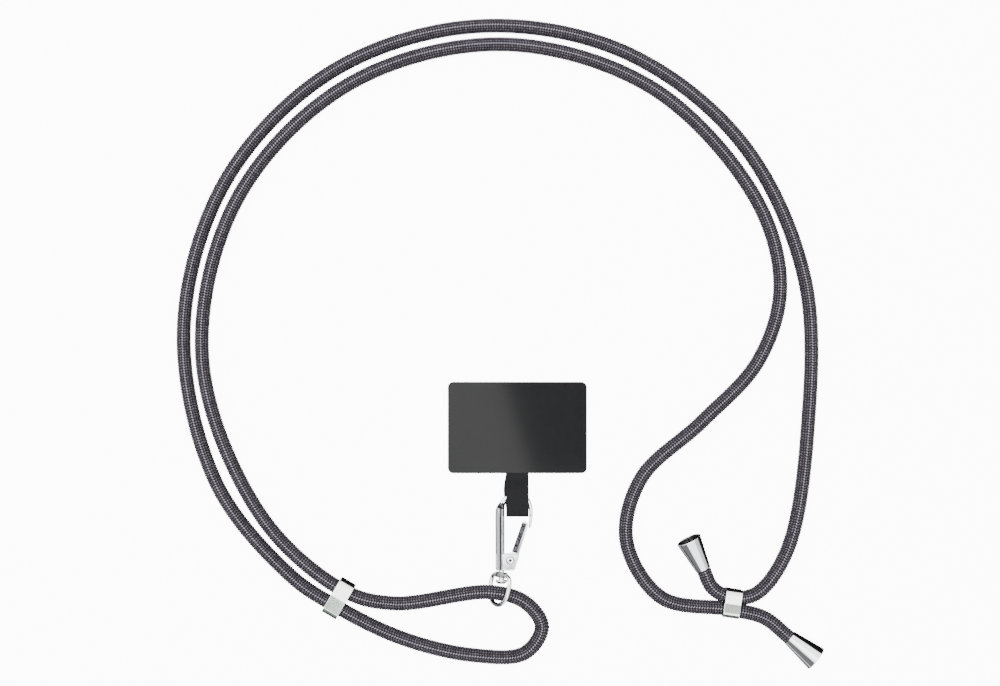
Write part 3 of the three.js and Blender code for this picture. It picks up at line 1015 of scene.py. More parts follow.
@dataclass
class SlidingRing:
    """A ring rolled from a steel band round two strands of the cord, creased between them."""

    name: str
    place: SliderPlace
    metal: Material
    wall: float = 0.75 * MM
    length: float = 6.6 * MM
    corner: float = 2.0 * MM
    crease: float = 0.3 * MM
    clearance: float = 0.3 * MM
    channel_height: float = 3.45 * MM
    fold_width: float = 0.5 * MM
    fold_depth: float = 0.14 * MM
    rim: float = 0.2 * MM
    rim_angle: float = 60.0
    arc_steps: int = 12

    def outline(self, half_width: float, half_height: float, corner: float) -> np.ndarray:
        """Returns the band's section, as places across and up.

        Args:
            half_width: Half its width.
            half_height: Half its height.
            corner: The radius of its corners.

        Returns:
            The section's points.
        """
        dip = half_height - self.crease
        bottom = dip - self.fold_depth
        fold = self.fold_width / 2
        flat = fold / 3
        half = [
            (-fold, -dip),
            (-flat, -bottom),
            (flat, -bottom),
            (fold, -dip),
            (half_width, -half_height),
            (half_width, half_height),
        ]
        radii = [0, 0, 0, 0, corner, corner]
        return rounded(half + [(-x, -y) for x, y in half], radii * 2, self.arc_steps)

    def build(self) -> None:
        inner_width = self.place.strand_offset + self.place.strand_width / 2 + self.clearance
        outer_height = self.channel_height + self.wall
        outer = self.outline(inner_width + self.wall, outer_height, self.corner)
        inner = self.outline(inner_width, self.channel_height, self.corner - self.wall)
        half = self.length / 2
        rings = [(half, outer), (-half, outer), (-half, inner), (half, inner)]
        rings = [np.column_stack([np.full(len(ring), x), ring]) for x, ring in rings]
        ring = loft(self.name, np.array(rings), closed=True)
        bevel(ring, self.rim, angle=self.rim_angle)
        dress(ring, self.metal)
        turn = Matrix.Rotation(math.radians(self.place.angle), 4, "Z")
        ring.data.transform(Matrix.Translation((self.place.x, self.place.y, outer_height)) @ turn)
        settle(ring, Body.ROOT, self.name.removesuffix("_band"))


@dataclass
class EndCap:
    """A turned cone on one end of the cord, open at its wide end."""

    name: str
    end: tuple[float, float, float]
    inner: tuple[float, float, float]
    metal: Material
    painted_shade: Material
    length: float = 13.4 * MM
    narrow: float = 3.1 * MM
    wide: float = 5.1 * MM
    wall: float = 0.7 * MM
    floor: float = 3.2 * MM
    edge: float = 0.4 * MM
    seat_gap: float = 0.6 * MM
    narrow_height: float = 3.9 * MM
    bore_wall: float = 0.2 * MM
    bore_depth: float = 2.4 * MM
    sides: int = 96
    rounds: tuple[float, ...] = (0, 0, 0, 0.15 * MM, 0.3 * MM, 0.25 * MM, 0.5 * MM, 0)
    skin_share: float = 0.8

    def profile(self) -> np.ndarray:
        """Returns the cap's half section, as radius and place along its axis."""
        bore = self.narrow - self.bore_wall
        points = [
            (0, self.bore_depth),
            (bore, self.bore_depth),
            (bore, 0),
            (self.narrow, 0),
            (self.wide, self.length),
            (self.wide - self.wall, self.length),
            (self.narrow - self.wall, self.floor),
            (0, self.floor),
        ]
        return rounded(points, self.rounds)

    def build(self) -> None:
        """Builds the cap on the end of the cord, its wide rim resting on the table."""
        cap = lathe(self.name, self.profile(), self.sides)
        dress(cap, self.metal, self.painted_shade)
        # The faces inside the cap get the dark metal: painted shade in its hollow.
        for face in cap.data.polygons:
            middle = face.center
            radius = math.hypot(middle.x, middle.z)
            skin = self.narrow + (self.wide - self.narrow) * middle.y / self.length
            inside = middle.y > self.floor - self.edge and radius < skin - self.skin_share * self.wall
            face.material_index = int(inside and middle.y < self.length - self.edge)
        rim = self.length - self.edge
        reach = math.hypot(self.wide, rim)
        rise = math.acos(self.narrow_height / reach) - math.atan2(rim, self.wide)
        out = Vector((self.end[0] - self.inner[0], self.end[1] - self.inner[1], 0)).normalized()
        axis = out * math.cos(rise) + Vector((0, 0, math.sin(rise)))
        start = Vector((self.end[0], self.end[1], self.narrow_height)) + out * self.seat_gap
        turn = Vector((0, 1, 0)).rotation_difference(axis).to_matrix().to_4x4()
        cap.data.transform(Matrix.Translation(start) @ turn)
        settle(cap, Body.ROOT, self.name.removesuffix("_cone") + "_end_cap")


# How the stitches are set out and wrapped: each value, the sum that gives it, and what goes into the sum.
STITCH_SUMS = (
    ("turns", "DIVIDE", "length", "Pitch"),
    ("rows", "FLOOR", "turns"),
    ("count", "MULTIPLY", "rows", "Columns"),
    ("column", "FLOORED_MODULO", "index", "Columns"),
    ("passed", "DIVIDE", "index", "Columns"),
    ("row", "FLOOR", "passed"),
    ("middle", "ADD", "row", 0.5),
    ("along", "MULTIPLY", "middle", "Pitch"),
    ("rim", "MULTIPLY", "Core Radius", math.tau),
    ("width", "DIVIDE", "rim", "Columns"),
    ("around", "MULTIPLY", "column", "width"),
    # The top column's stitches get a stronger painted glint, a painted highlight row along the cord's top;
    # the rest get a random one.
    ("on_top", "COMPARE", "column", "Tracer", 0.5),
    ("tint", "MULTIPLY_ADD", "on_top", "Tracer Tint", "random"),
    ("odd", "FLOORED_MODULO", "column", 2.0),
    ("side", "MULTIPLY_ADD", "odd", 2.0, -1.0),
    ("lean", "MULTIPLY", "side", "Slant"),
    ("angle", "DIVIDE", "flat_x", "Core Radius"),
    ("radius", "ADD", "flat_z", "Core Radius"),
    ("cosine", "COSINE", "angle"),
    ("sine", "SINE", "angle"),
    ("wrapped_x", "MULTIPLY", "cosine", "radius"),
    ("wrapped_y", "MULTIPLY", "sine", "radius"),
)


@dataclass
class Cord:
    """The braided cord: a dark core under sixteen columns of slanted stitches."""

    finish: BraidFinish = field(default_factory=BraidFinish)
    diameter: float = 6 * MM
    step: float = 0.8 * MM
    columns: int = 16
    pitch: float = 1.07 * MM
    relief: float = 0.28 * MM
    sunk: float = 0.16 * MM
    stitch_length: float = 1.9 * MM
    stitch_width: float = 0.84 * MM
    shoulder_share: float = 0.2
    slant: float = 45.0
    # How strong each stitch's painted highlight is at random, and how much stronger it is on the top column.
    glint_range: tuple[float, float] = (0.14, 0.42)
    top_glint: float = 0.75
    seed: int = 3
    core_sides: int = 12
    core_step: float = 4.0 * MM
    ring_half: float = 3.0 * MM
    squeeze_reach: float = 3.9 * MM
    cap_depth: float = 2.0 * MM

    def line(self) -> np.ndarray:
        """Returns the cord's middle line, a short way into each cap's bore."""
        line = smooth_line(np.array(CORD_ROUTE), self.step)
        line[:, 2] = np.maximum(line[:, 2], self.diameter / 2)
        head = line[0] - line[1]
        tail = line[-1] - line[-2]
        head *= self.cap_depth / np.linalg.norm(head)
        tail *= self.cap_depth / np.linalg.norm(tail)
        return np.vstack([line[0] + head, line, line[-1] + tail])

    def widths(self, line: np.ndarray) -> np.ndarray:
        """Finds the cord's width at each point of its line.

        Args:
            line: The cord's middle line.

        Returns:
            The widths, as a share of the free width.
        """
        away, aside = LENGTH_SLIDER.away(line)
        away[aside > 2 * self.diameter] = self.squeeze_reach
        free = np.clip((away - self.ring_half) / (self.squeeze_reach - self.ring_half), 0, 1)
        free = free * free * (3 - 2 * free)
        tight = LENGTH_SLIDER.strand_width / self.diameter
        return tight + (1 - tight) * free

    def route(self, line: np.ndarray) -> Object:
        """Makes the guide curve, whose point radius holds the cord's share of its free width.

        Args:
            line: The cord's middle line.

        Returns:
            The guide, to be removed once the cord is grown.
        """
        guide = link_line("cord_guide", line, closed=False)
        guide.data.splines[0].points.foreach_set("radius", self.widths(line))
        return guide

    def stitch(self) -> Object:
        """Makes one stitch along X, a low leaf of yarn whose edges are sunk into the core."""
        tip = self.stitch_length / 2
        shoulder = self.stitch_length * self.shoulder_share
        side = self.stitch_width / 2
        outline = [
            (-tip, 0, -self.sunk),
            (-shoulder, -side, -self.sunk),
            (shoulder, -side, -self.sunk),
            (tip, 0, -self.sunk),
            (shoulder, side, -self.sunk),
            (-shoulder, side, -self.sunk),
        ]
        ridge = [(-shoulder, 0, self.relief), (shoulder, 0, self.relief)]
        faces = [(1, 2, 7, 6), (6, 7, 4, 5), (0, 1, 6), (0, 6, 5), (2, 3, 7), (7, 3, 4)]
        stitch = sheet("stitch", outline + ridge, faces)
        mesh = stitch.data
        layer = mesh.uv_layers.new(name="UVMap")
        for loop in mesh.loops:
            x, y, _ = mesh.vertices[loop.vertex_index].co
            layer.data[loop.index].uv = (x / self.stitch_length, y / self.stitch_width)
        return stitch

    def tree(self) -> NodeTree:
        """Builds the tree that lays the core and the stitches out straight and bends them to the route."""
        tree, knob = new_tree(
            "braided_cord",
            {
                "Route": "Object",
                "Stitch": "Object",
                "Columns": "Int",
                "Tracer": "Int",
                "Tracer Tint": "Float",
                "Seed": "Int",
                "Pitch": "Float",
                "Slant": "Float",
                "Core Radius": "Float",
                "Core Sides": "Int",
                "Core Step": "Float",
                "Yarn": "Material",
                "Core": "Material",
            },
        )
        route = add_node(tree, "GeometryNodeObjectInfo", {0: knob["Route"]}, transform_space="ORIGINAL")
        route = {0: route.outputs["Geometry"]}
        guide = add_node(tree, "GeometryNodeSetCurveNormal", route, mode="Z_UP").outputs[0]
        length = add_node(tree, "GeometryNodeCurveLength", {0: guide}).outputs[0]
        both = add_node(tree, "GeometryNodeJoinGeometry", {0: self._core(tree, knob, length)})
        tree.links.new(self._stitches(tree, knob, length), both.inputs[0])
        bent = self._bend(tree, guide, both.outputs[0])
        smooth = add_node(tree, "GeometryNodeSetShadeSmooth", {0: bent}).outputs[0]
        add_node(tree, "NodeGroupOutput", {0: smooth})
        return tree

    def _stitches(
        self, tree: NodeTree, knob: NodeOutputs, length: NodeSocket
    ) -> NodeSocket:
        """Adds the nodes that set out the stitches round a straight cord along Z.

        Args:
            tree: The tree to add to.
            knob: The tree's inputs.
            length: The cord's length.

        Returns:
            The stitches' geometry.
        """
        flat = add_node(tree, "GeometryNodeInputPosition").outputs[0]
        flat = add_node(tree, "ShaderNodeSeparateXYZ", {0: flat}).outputs
        span = {2: self.glint_range[0], 3: self.glint_range[1], "Seed": knob["Seed"]}
        known = {
            "length": length,
            "index": add_node(tree, "GeometryNodeInputIndex").outputs[0],
            "random": add_node(tree, "FunctionNodeRandomValue", span, data_type="FLOAT").outputs[1],
            "flat_x": flat[0],
            "flat_z": flat[2],
        }
        for name in ("Pitch", "Columns", "Core Radius", "Tracer", "Tracer Tint", "Slant"):
            known[name] = knob[name]
        for name, operation, *terms in STITCH_SUMS:
            inputs = {place: known.get(term, term) for place, term in enumerate(terms)}
            known[name] = add_node(tree, "ShaderNodeMath", inputs, operation=operation).outputs[0]
        spot = add_node(tree, "ShaderNodeCombineXYZ", {0: known["around"], 1: known["along"]}).outputs[0]
        grid = {"Count": known["count"], "Position": spot}
        points = add_node(tree, "GeometryNodePoints", grid).outputs[0]
        label = {"Geometry": points, "Name": "tint", "Value": known["tint"]}
        tinted = add_node(
            tree, "GeometryNodeStoreNamedAttribute", label, data_type="FLOAT", domain="POINT"
        ).outputs[0]
        turn = add_node(tree, "ShaderNodeCombineXYZ", {2: known["lean"]}).outputs[0]
        leaf = add_node(tree, "GeometryNodeObjectInfo", {0: knob["Stitch"]}, transform_space="ORIGINAL")
        leaves = {"Points": tinted, "Instance": leaf.outputs["Geometry"], "Rotation": turn}
        placed = add_node(tree, "GeometryNodeInstanceOnPoints", leaves).outputs[0]
        real = add_node(tree, "GeometryNodeRealizeInstances", {0: placed}).outputs[0]
        wrap = {0: known["wrapped_x"], 1: known["wrapped_y"], 2: flat[1]}
        wrapped = add_node(tree, "ShaderNodeCombineXYZ", wrap).outputs[0]
        moved = add_node(tree, "GeometryNodeSetPosition", {"Geometry": real, "Position": wrapped}).outputs[0]
        dye = {"Geometry": moved, "Material": knob["Yarn"]}
        return add_node(tree, "GeometryNodeSetMaterial", dye).outputs[0]

    def _core(
        self, tree: NodeTree, knob: NodeOutputs, length: NodeSocket
    ) -> NodeSocket:
        """Adds the nodes that make the straight core along Z.

        Args:
            tree: The tree to add to.
            knob: The tree's inputs.
            length: The cord's length.

        Returns:
            The core's geometry.
        """
        parts = {0: length, 1: knob["Core Step"]}
        steps = add_node(tree, "ShaderNodeMath", parts, operation="DIVIDE").outputs[0]
        shape = {
            "Vertices": knob["Core Sides"],
            "Side Segments": steps,
            "Radius": knob["Core Radius"],
            "Depth": length,
        }
        tube = add_node(tree, "GeometryNodeMeshCylinder", shape).outputs[0]
        half = add_node(tree, "ShaderNodeMath", {0: length, 1: 0.5}, operation="MULTIPLY").outputs[0]
        lift = add_node(tree, "ShaderNodeCombineXYZ", {2: half}).outputs[0]
        core = add_node(tree, "GeometryNodeTransform", {"Geometry": tube, "Translation": lift}).outputs[0]
        dye = {"Geometry": core, "Material": knob["Core"]}
        return add_node(tree, "GeometryNodeSetMaterial", dye).outputs[0]

    def _bend(
        self, tree: NodeTree, guide: NodeSocket, straight: NodeSocket
    ) -> NodeSocket:
        """Adds the nodes that bend a straight cord along Z to the guide.

        Args:
            tree: The tree to add to.
            guide: The guide curve.
            straight: The straight cord.

        Returns:
            The bent cord.
        """
        here = add_node(tree, "GeometryNodeInputPosition").outputs[0]
        here = add_node(tree, "ShaderNodeSeparateXYZ", {0: here}).outputs
        share = add_node(tree, "GeometryNodeInputRadius").outputs[0]
        spot = {"Curves": guide, "Value": share, "Length": here[2]}
        sample = add_node(tree, "GeometryNodeSampleCurve", spot, mode="LENGTH", data_type="FLOAT").outputs
        axes = {0: sample["Tangent"], 1: sample["Normal"]}
        upward = add_node(tree, "ShaderNodeVectorMath", axes, operation="CROSS_PRODUCT").outputs[0]
        width = {0: here[0], 1: sample["Value"]}
        squeezed = add_node(tree, "ShaderNodeMath", width, operation="MULTIPLY").outputs[0]
        place = sample["Position"]
        for axis, reach in ((sample["Normal"], squeezed), (upward, here[1])):
            step = {0: axis, "Scale": reach}
            offset = add_node(tree, "ShaderNodeVectorMath", step, operation="SCALE").outputs[0]
            place = add_node(tree, "ShaderNodeVectorMath", {0: place, 1: offset}, operation="ADD").outputs[0]
        bent = {"Geometry": straight, "Position": place}
        return add_node(tree, "GeometryNodeSetPosition", bent).outputs[0]

    def build(self) -> None:
        line = self.line()
        guide = self.route(line)
        stitch = self.stitch()
        cord = grow(
            "braided_cord",
            self.tree(),
            {
                "Route": guide,
                "Stitch": stitch,
                "Columns": self.columns,
                "Pitch": self.pitch,
                "Core Radius": self.diameter / 2 - self.relief,
                "Core Sides": self.core_sides,
                "Core Step": self.core_step,
                "Slant": math.radians(self.slant),
                # The column that lies on top carries the strongest painted highlight.
                "Tracer": 3 * self.columns // 4,
                "Tracer Tint": self.top_glint,
                "Seed": self.seed,
                "Yarn": self.finish.yarn(),
                "Core": self.finish.core(),
            },
        )
        bpy.data.objects.remove(guide)
        bpy.data.objects.remove(stitch)
        settle(cord, Body.ROOT, "cord")


# The hook's bar from its base round to its nose: place across and along in shares of the hook's span
# and reach, width and thickness in shares of the bar's.
HOOK_BAR = (
    (-0.05, 0.01, 1.0, 1.6),
    (-0.05, 0.4, 1.02, 1.55),
    (-0.05, 0.78, 1.0, 1.5),
    (-0.04, 0.81, 0.94, 1.4),
    (-0.01, 0.845, 0.8, 0.85),
    (0.03, 0.88, 0.66, 0.73),
    (0.16, 0.95, 0.56, 0.71),
    (0.32, 0.985, 0.53, 0.71),
    (0.525, 1.0, 0.53, 0.71),
    (0.73, 0.98, 0.5, 0.71),
    (0.9, 0.92, 0.47, 0.71),
    (0.985, 0.83, 0.42, 0.71),
    (1.0, 0.735, 0.39, 0.71),
    (0.98, 0.64, 0.36, 0.71),
    (0.95, 0.555, 0.22, 0.57),
)

# Where the spine ends in a facet at its top corner, painted dark as painted shade, in shares of the hook's
# reach.
PAINTED_CORNER_SHADE = (0.835, 0.89)

# The head of the gate's rivet in millimetres: its radius, and its height over the base's face.
RIVET_HEAD = (
    (0.8, 0.0),
    (1.65, 0.0),
    (1.65, 0.12),
    (1.35, 0.27),
    (1.2, 0.4),
    (0.62, 0.4),
    (0.5, 0.3),
    (0.4, 0.1),
    (0.0, 0.04),
)

# One side of the swivel's eye, in shares of its half width and its length.
EYE_SIDE = ((0.56, 0.0), (0.89, 0.075), (1.0, 0.22), (1.0, 0.435), (0.88, 0.7), (0.53, 0.915))


@dataclass
class Clasp:
    """The swivel clasp: a cast hook with a hinged gate, and an eye that turns on a post."""

    metal: Material
    spine_shading: Material
    wear_and_painted_shade: Material
    painted_shade: Material
    x: float = 1.4 * MM
    y: float = -90.3 * MM
    height: float = 5.095 * MM
    tilt: float = 5.5
    span: float = 11.8 * MM
    reach: float = 30.2 * MM
    bar_width: float = 3.6 * MM
    bar_thickness: float = 2.8 * MM
    bar_step: float = 0.45 * MM
    bar_sides: int = 72
    bar_power: float = 2.4
    nose_dome: float = 0.5 * MM
    groove_end: float = 0.74
    groove_place: float = 0.25 * MM
    groove_half: float = 0.3 * MM
    groove_depth: float = 0.3 * MM
    base_thickness: float = 3.9 * MM
    base_left: float = -2.4 * MM
    base_bottom_right: float = 5.2 * MM
    base_top_right: float = 7.3 * MM
    base_height: float = 6.7 * MM
    base_rounds: tuple[float, ...] = (1.0 * MM, 1.0 * MM, 0.6 * MM, 0.6 * MM)
    base_edge: float = 0.45 * MM
    gate_thickness: float = 2.0 * MM
    gate_lap: float = 0.9 * MM
    gate_root: float = 1.7 * MM
    gate_root_width: float = 3.1 * MM
    gate_shoulder: float = 3.4 * MM
    gate_tip_width: float = 2.1 * MM
    gate_offset: float = 0.94 * MM
    gate_tongue: float = 1.1 * MM
    gate_flange: float = 0.5 * MM
    gate_tip_round: float = 0.7 * MM
    gate_edge: float = 0.3 * MM
    channel_inset: float = 0.1 * MM
    channel_middle: float = 0.4 * MM
    channel_end: float = 0.5 * MM
    channel_depth: float = 0.6 * MM
    channel_rounds: tuple[float, ...] = (0.2 * MM, 0.2 * MM, 0.3 * MM, 0.3 * MM)
    rivet_x: float = 3.5 * MM
    rivet_y: float = 4.0 * MM
    rivet_radius: float = 0.8 * MM
    rivet_head: float = 1.65 * MM
    rivet_dimple: float = 0.6 * MM
    post_radius: float = 1.1 * MM
    post_depth: float = 2.4 * MM
    post_head: float = 2.3 * MM
    post_head_length: float = 1.6 * MM
    post_foot: float = 1.4 * MM
    post_brim: float = 0.8 * MM
    post_rounds: tuple[float, ...] = (0, 0.6 * MM, 0.4 * MM, 0.25 * MM, 0, 0.2 * MM, 0)
    collar_radius: float = 2.4 * MM
    collar_length: float = 2.2 * MM
    collar_play: float = 0.5 * MM
    collar_round: float = 0.3 * MM
    eye_bar: float = -1.75 * MM
    eye_wire: float = 1.7 * MM
    eye_half_width: float = 5.9 * MM
    eye_length: float = 11.95 * MM
    eye_turn: float = 52.0
    eye_lean: float = 9.0
    eye_sides: int = 40
    eye_step: float = 0.3 * MM
    sides: int = 64
    clearance: float = 0.3 * MM
    fine: float = 0.2 * MM

    def frame(self) -> Matrix:
        """Returns the clasp's own frame: its swivel's foot, tipped so that the eye rests on the table."""
        lean = Matrix.Rotation(math.radians(-self.tilt), 4, "X")
        return Matrix.Translation((self.x, self.y, self.height)) @ lean

    def bar(self) -> Object:
        """Sweeps the hook's bar, with a fine groove down the face of its thick side."""
        rows = np.array(HOOK_BAR) * (self.span, self.reach, self.bar_width, self.bar_thickness)
        line = smooth_line(rows, self.bar_step)
        place = line[:, :2]
        heading = np.gradient(place, axis=0)
        heading /= np.linalg.norm(heading, axis=1)[:, None]
        side = np.column_stack([heading[:, 1], -heading[:, 0]])
        walked = np.concatenate([[0], np.cumsum(np.linalg.norm(np.diff(place, axis=0), axis=1))])
        left = walked[-1] - walked
        dome = np.sqrt(np.clip(1 - (1 - np.clip(left / self.nose_dome, 0.02, 1)) ** 2, 0, 1))
        turn = np.linspace(0, math.tau, self.bar_sides, endpoint=False)
        flat = 2 / self.bar_power
        across = np.sign(np.cos(turn)) * np.abs(np.cos(turn)) ** flat
        rise = np.sign(np.sin(turn)) * np.abs(np.sin(turn)) ** flat
        rings = []
        for spot, out, width, height, share in zip(place, side, line[:, 2], line[:, 3], dome):
            fade = np.clip((self.groove_end * self.reach - spot[1]) / MM, 0, 1)
            aside = (across * width / 2 - self.groove_place) / self.groove_half
            dent = self.groove_depth * fade * np.exp(-(aside**2))
            up = rise * height / 2 * share - np.sign(rise) * dent
            flat_place = spot + out * (across * width / 2 * share)[:, None]
            rings.append(np.column_stack([flat_place, up]))
        return loft("hook_bar", np.array(rings))

    def hook(self) -> None:
        """Builds the hook: its bar and its forked base, cut for the gate and the post."""
        outline = rounded(
            [
                (self.base_left, 0),
                (self.base_bottom_right, 0),
                (self.base_top_right, self.base_height),
                (self.base_left, self.base_height),
            ],
            self.base_rounds,
        )
        base = plate("cast_hook", outline, self.base_thickness)
        bevel(base, self.base_edge, segments=4)
        slot_left = self.rivet_x - self.gate_root - self.clearance
        slot_low = self.rivet_y - self.gate_root - self.clearance
        corner = (2 * self.base_top_right, 2 * self.base_height)
        slot_outline = [(slot_left, slot_low), (corner[0], slot_low), corner, (slot_left, corner[1])]
        slot = plate("slot", np.array(slot_outline), self.gate_thickness + 2 * self.fine)
        combine(base, slot, "DIFFERENCE")
        bore = rod("bore", self.post_radius + self.fine, -MM, self.post_depth + self.clearance)
        combine(base, bore, "DIFFERENCE")
        combine(base, self.bar(), "UNION")
        dress(base, self.metal, self.spine_shading, self.painted_shade)
        # The spine's top face gets the painted spine shade, and the facet at its top corner gets the dark
        # painted-shade metal.
        above = self.base_thickness / 2 - self.fine
        for face in base.data.polygons:
            x, y, z = face.center
            if x > HOOK_BAR[0][0] * self.span + self.bar_width / 2 or z < above * (y < self.base_height):
                continue
            corner_share = y / self.reach
            if corner_share < PAINTED_CORNER_SHADE[0]:
                face.material_index = 1
            elif corner_share < PAINTED_CORNER_SHADE[1] and face.normal.z > 0:
                face.material_index = 2
        base.data.transform(self.frame())
        settle(base, Body.CLASP, "hook")

    def closed_gate(self) -> tuple[float, float]:
        """Returns the gate's length and its lean where its tip rests against the hook's nose."""
        across, along, width, _ = HOOK_BAR[-1]
        x = across * self.span - width * self.bar_width / 2 - self.clearance - self.rivet_x
        y = along * self.reach + self.gate_lap - self.rivet_y
        outer = self.gate_offset + self.gate_tip_width / 2
        length = math.sqrt(x * x + y * y - outer * outer)
        return length, math.atan2(x, y) - math.atan2(outer, length)

    def gate(self) -> None:
        """Builds the gate, a folded bar whose inner half is an open channel."""
        length, lean = self.closed_gate()
        length += self.gate_tongue
        root_outer = self.gate_offset + self.gate_root_width / 2
        root_inner = self.gate_offset - self.gate_root_width / 2
        tip_outer = self.gate_offset + self.gate_tip_width / 2
        tip_inner = self.gate_offset - self.gate_tip_width / 2 - self.gate_flange
        turn = np.linspace(5 * math.pi / 6, math.tau, 24)
        root = np.column_stack([np.cos(turn), np.sin(turn)]) * self.gate_root
        tip = rounded(
            [
                (root_outer, self.gate_root),
                (tip_outer, length),
                (tip_inner, length),
                (root_inner, self.gate_shoulder),
            ],
            [0, self.gate_tip_round, self.gate_tip_round, 0],
        )
        bar = plate("folded_gate", np.vstack([tip, root]), self.gate_thickness)
        bevel(bar, self.gate_edge)
        bake(bar)
        bar.data.materials.append(self.metal)
        inset = self.channel_inset
        middle = self.gate_offset + self.channel_middle
        end = length - self.channel_end
        channel = rounded(
            [
                (root_inner + inset, self.gate_shoulder + inset),
                (middle, self.gate_shoulder + inset),
                (middle, end),
                (tip_inner + inset, end),
            ],
            self.channel_rounds,
        )
        # The channel's cut faces take the cutter's dark metal: painted shade in the channel.
        for height in (1, -1):
            cutter = plate("channel", channel, 2 * self.channel_depth)
            cutter.data.transform(Matrix.Translation((0, 0, height * self.gate_thickness / 2)))
            cutter.data.materials.append(self.painted_shade)
            combine(bar, cutter, "DIFFERENCE")
        pin = rod("pin", self.rivet_radius + self.fine, -self.gate_thickness, self.gate_thickness, 40)
        pin.data.transform(Matrix.Rotation(math.pi / 2, 4, "X"))
        pin.data.materials.append(self.metal)
        combine(bar, pin, "DIFFERENCE")
        bar.data.shade_smooth()
        bar.data.set_sharp_from_angle(angle=math.radians(35))
        place = Matrix.Translation((self.rivet_x, self.rivet_y, 0)) @ Matrix.Rotation(-lean, 4, "Z")
        bar.data.transform(self.frame() @ place)
        settle(bar, Body.GATE, "gate")

    def rivet(self) -> None:
        """Builds the gate's rivet, whose heads are dimpled by the setting tool."""
        face = self.base_thickness / 2 + self.fine
        half = [(radius * MM, face + height * MM) for radius, height in RIVET_HEAD]
        under = [(radius, -along) for radius, along in reversed(half)]
        rivet = lathe("dimpled_rivet", under + half, self.sides)
        dress(rivet, self.metal, self.painted_shade, angle=50)
        # The dimples and the heads' outer rims get the dark metal: painted shade.
        for face in rivet.data.polygons:
            radius = math.hypot(face.center.x, face.center.z)
            face.material_index = int(radius < self.rivet_dimple or radius > self.rivet_head - self.fine)
        turn = Matrix.Translation((self.rivet_x, self.rivet_y, 0)) @ Matrix.Rotation(math.pi / 2, 4, "X")
        rivet.data.transform(self.frame() @ turn)
        settle(rivet, Body.CLASP, "gate_rivet")

    def post(self) -> None:
        """Builds the swivel's post, whose headed end holds the eye's collar."""
        top = self.eye_bar - self.collar_length / 2 - self.collar_play - self.clearance
        bottom = top - self.post_head_length
        points = [
            (0, bottom),
            (self.post_foot, bottom),
            (self.post_head, top - self.post_brim),
            (self.post_head, top),
            (self.post_radius, top),
            (self.post_radius, self.post_depth),
            (0, self.post_depth),
        ]
        post = lathe("headed_post", rounded(points, self.post_rounds), self.sides)
        dress(post, self.metal)
        post.data.transform(self.frame())
        settle(post, Body.CLASP, "swivel_post")

    def eye(self) -> None:
        """Builds the swivel's eye, a wire ring cast in one with the collar that turns on the post."""
        inside = (self.collar_radius + self.post_radius + self.collar_play) / 2
        half = [(inside, 0.0)]
        half += [(across * self.eye_half_width, -down * self.eye_length) for across, down in EYE_SIDE]
        mirrored = [(-x, y) for x, y in reversed(half)]
        line = smooth_line(np.array([*half, (0, -self.eye_length), *mirrored]), self.eye_step)
        heading = np.gradient(line, axis=0)
        heading /= np.linalg.norm(heading, axis=1)[:, None]
        turn = np.linspace(0, math.tau, self.eye_sides, endpoint=False)
        rings = []
        for spot, ahead in zip(line, heading):
            side = np.array([ahead[1], -ahead[0]]) * self.eye_wire / 2
            ring = spot + np.cos(turn)[:, None] * side
            rings.append(np.column_stack([ring, np.sin(turn) * self.eye_wire / 2]))
        eye = loft("cast_eye", np.array(rings))
        half_length = self.collar_length / 2
        points = [
            (0, -half_length),
            (self.collar_radius, -half_length),
            (self.collar_radius, half_length),
            (0, half_length),
        ]
        profile = rounded(points, [0, self.collar_round, self.collar_round, 0])
        combine(eye, lathe("collar", profile, self.sides), "UNION")
        reach = 2 * self.collar_length
        combine(eye, rod("bore", self.post_radius + self.collar_play, -reach, reach), "DIFFERENCE")
        dress(eye, self.metal, self.wear_and_painted_shade)
        # The collar's faces get the darker streaked grey: painted shade.
        for face in eye.data.polygons:
            radius = math.hypot(face.center.x, face.center.z)
            face.material_index = int(radius < self.collar_radius and abs(face.center.y) < half_length)
        place = Matrix.Translation((0, self.eye_bar, 0))
        turned = Matrix.Rotation(math.radians(-self.eye_lean), 4, "Z")
        turned = turned @ Matrix.Rotation(math.radians(-self.eye_turn), 4, "Y")
        eye.data.transform(self.frame() @ place @ turned)
        settle(eye, Body.ROOT, "swivel_eye")

    def build(self) -> None:
        """Builds the whole clasp."""
        self.hook()
        self.gate()
        self.rivet()
        self.post()
        self.eye()


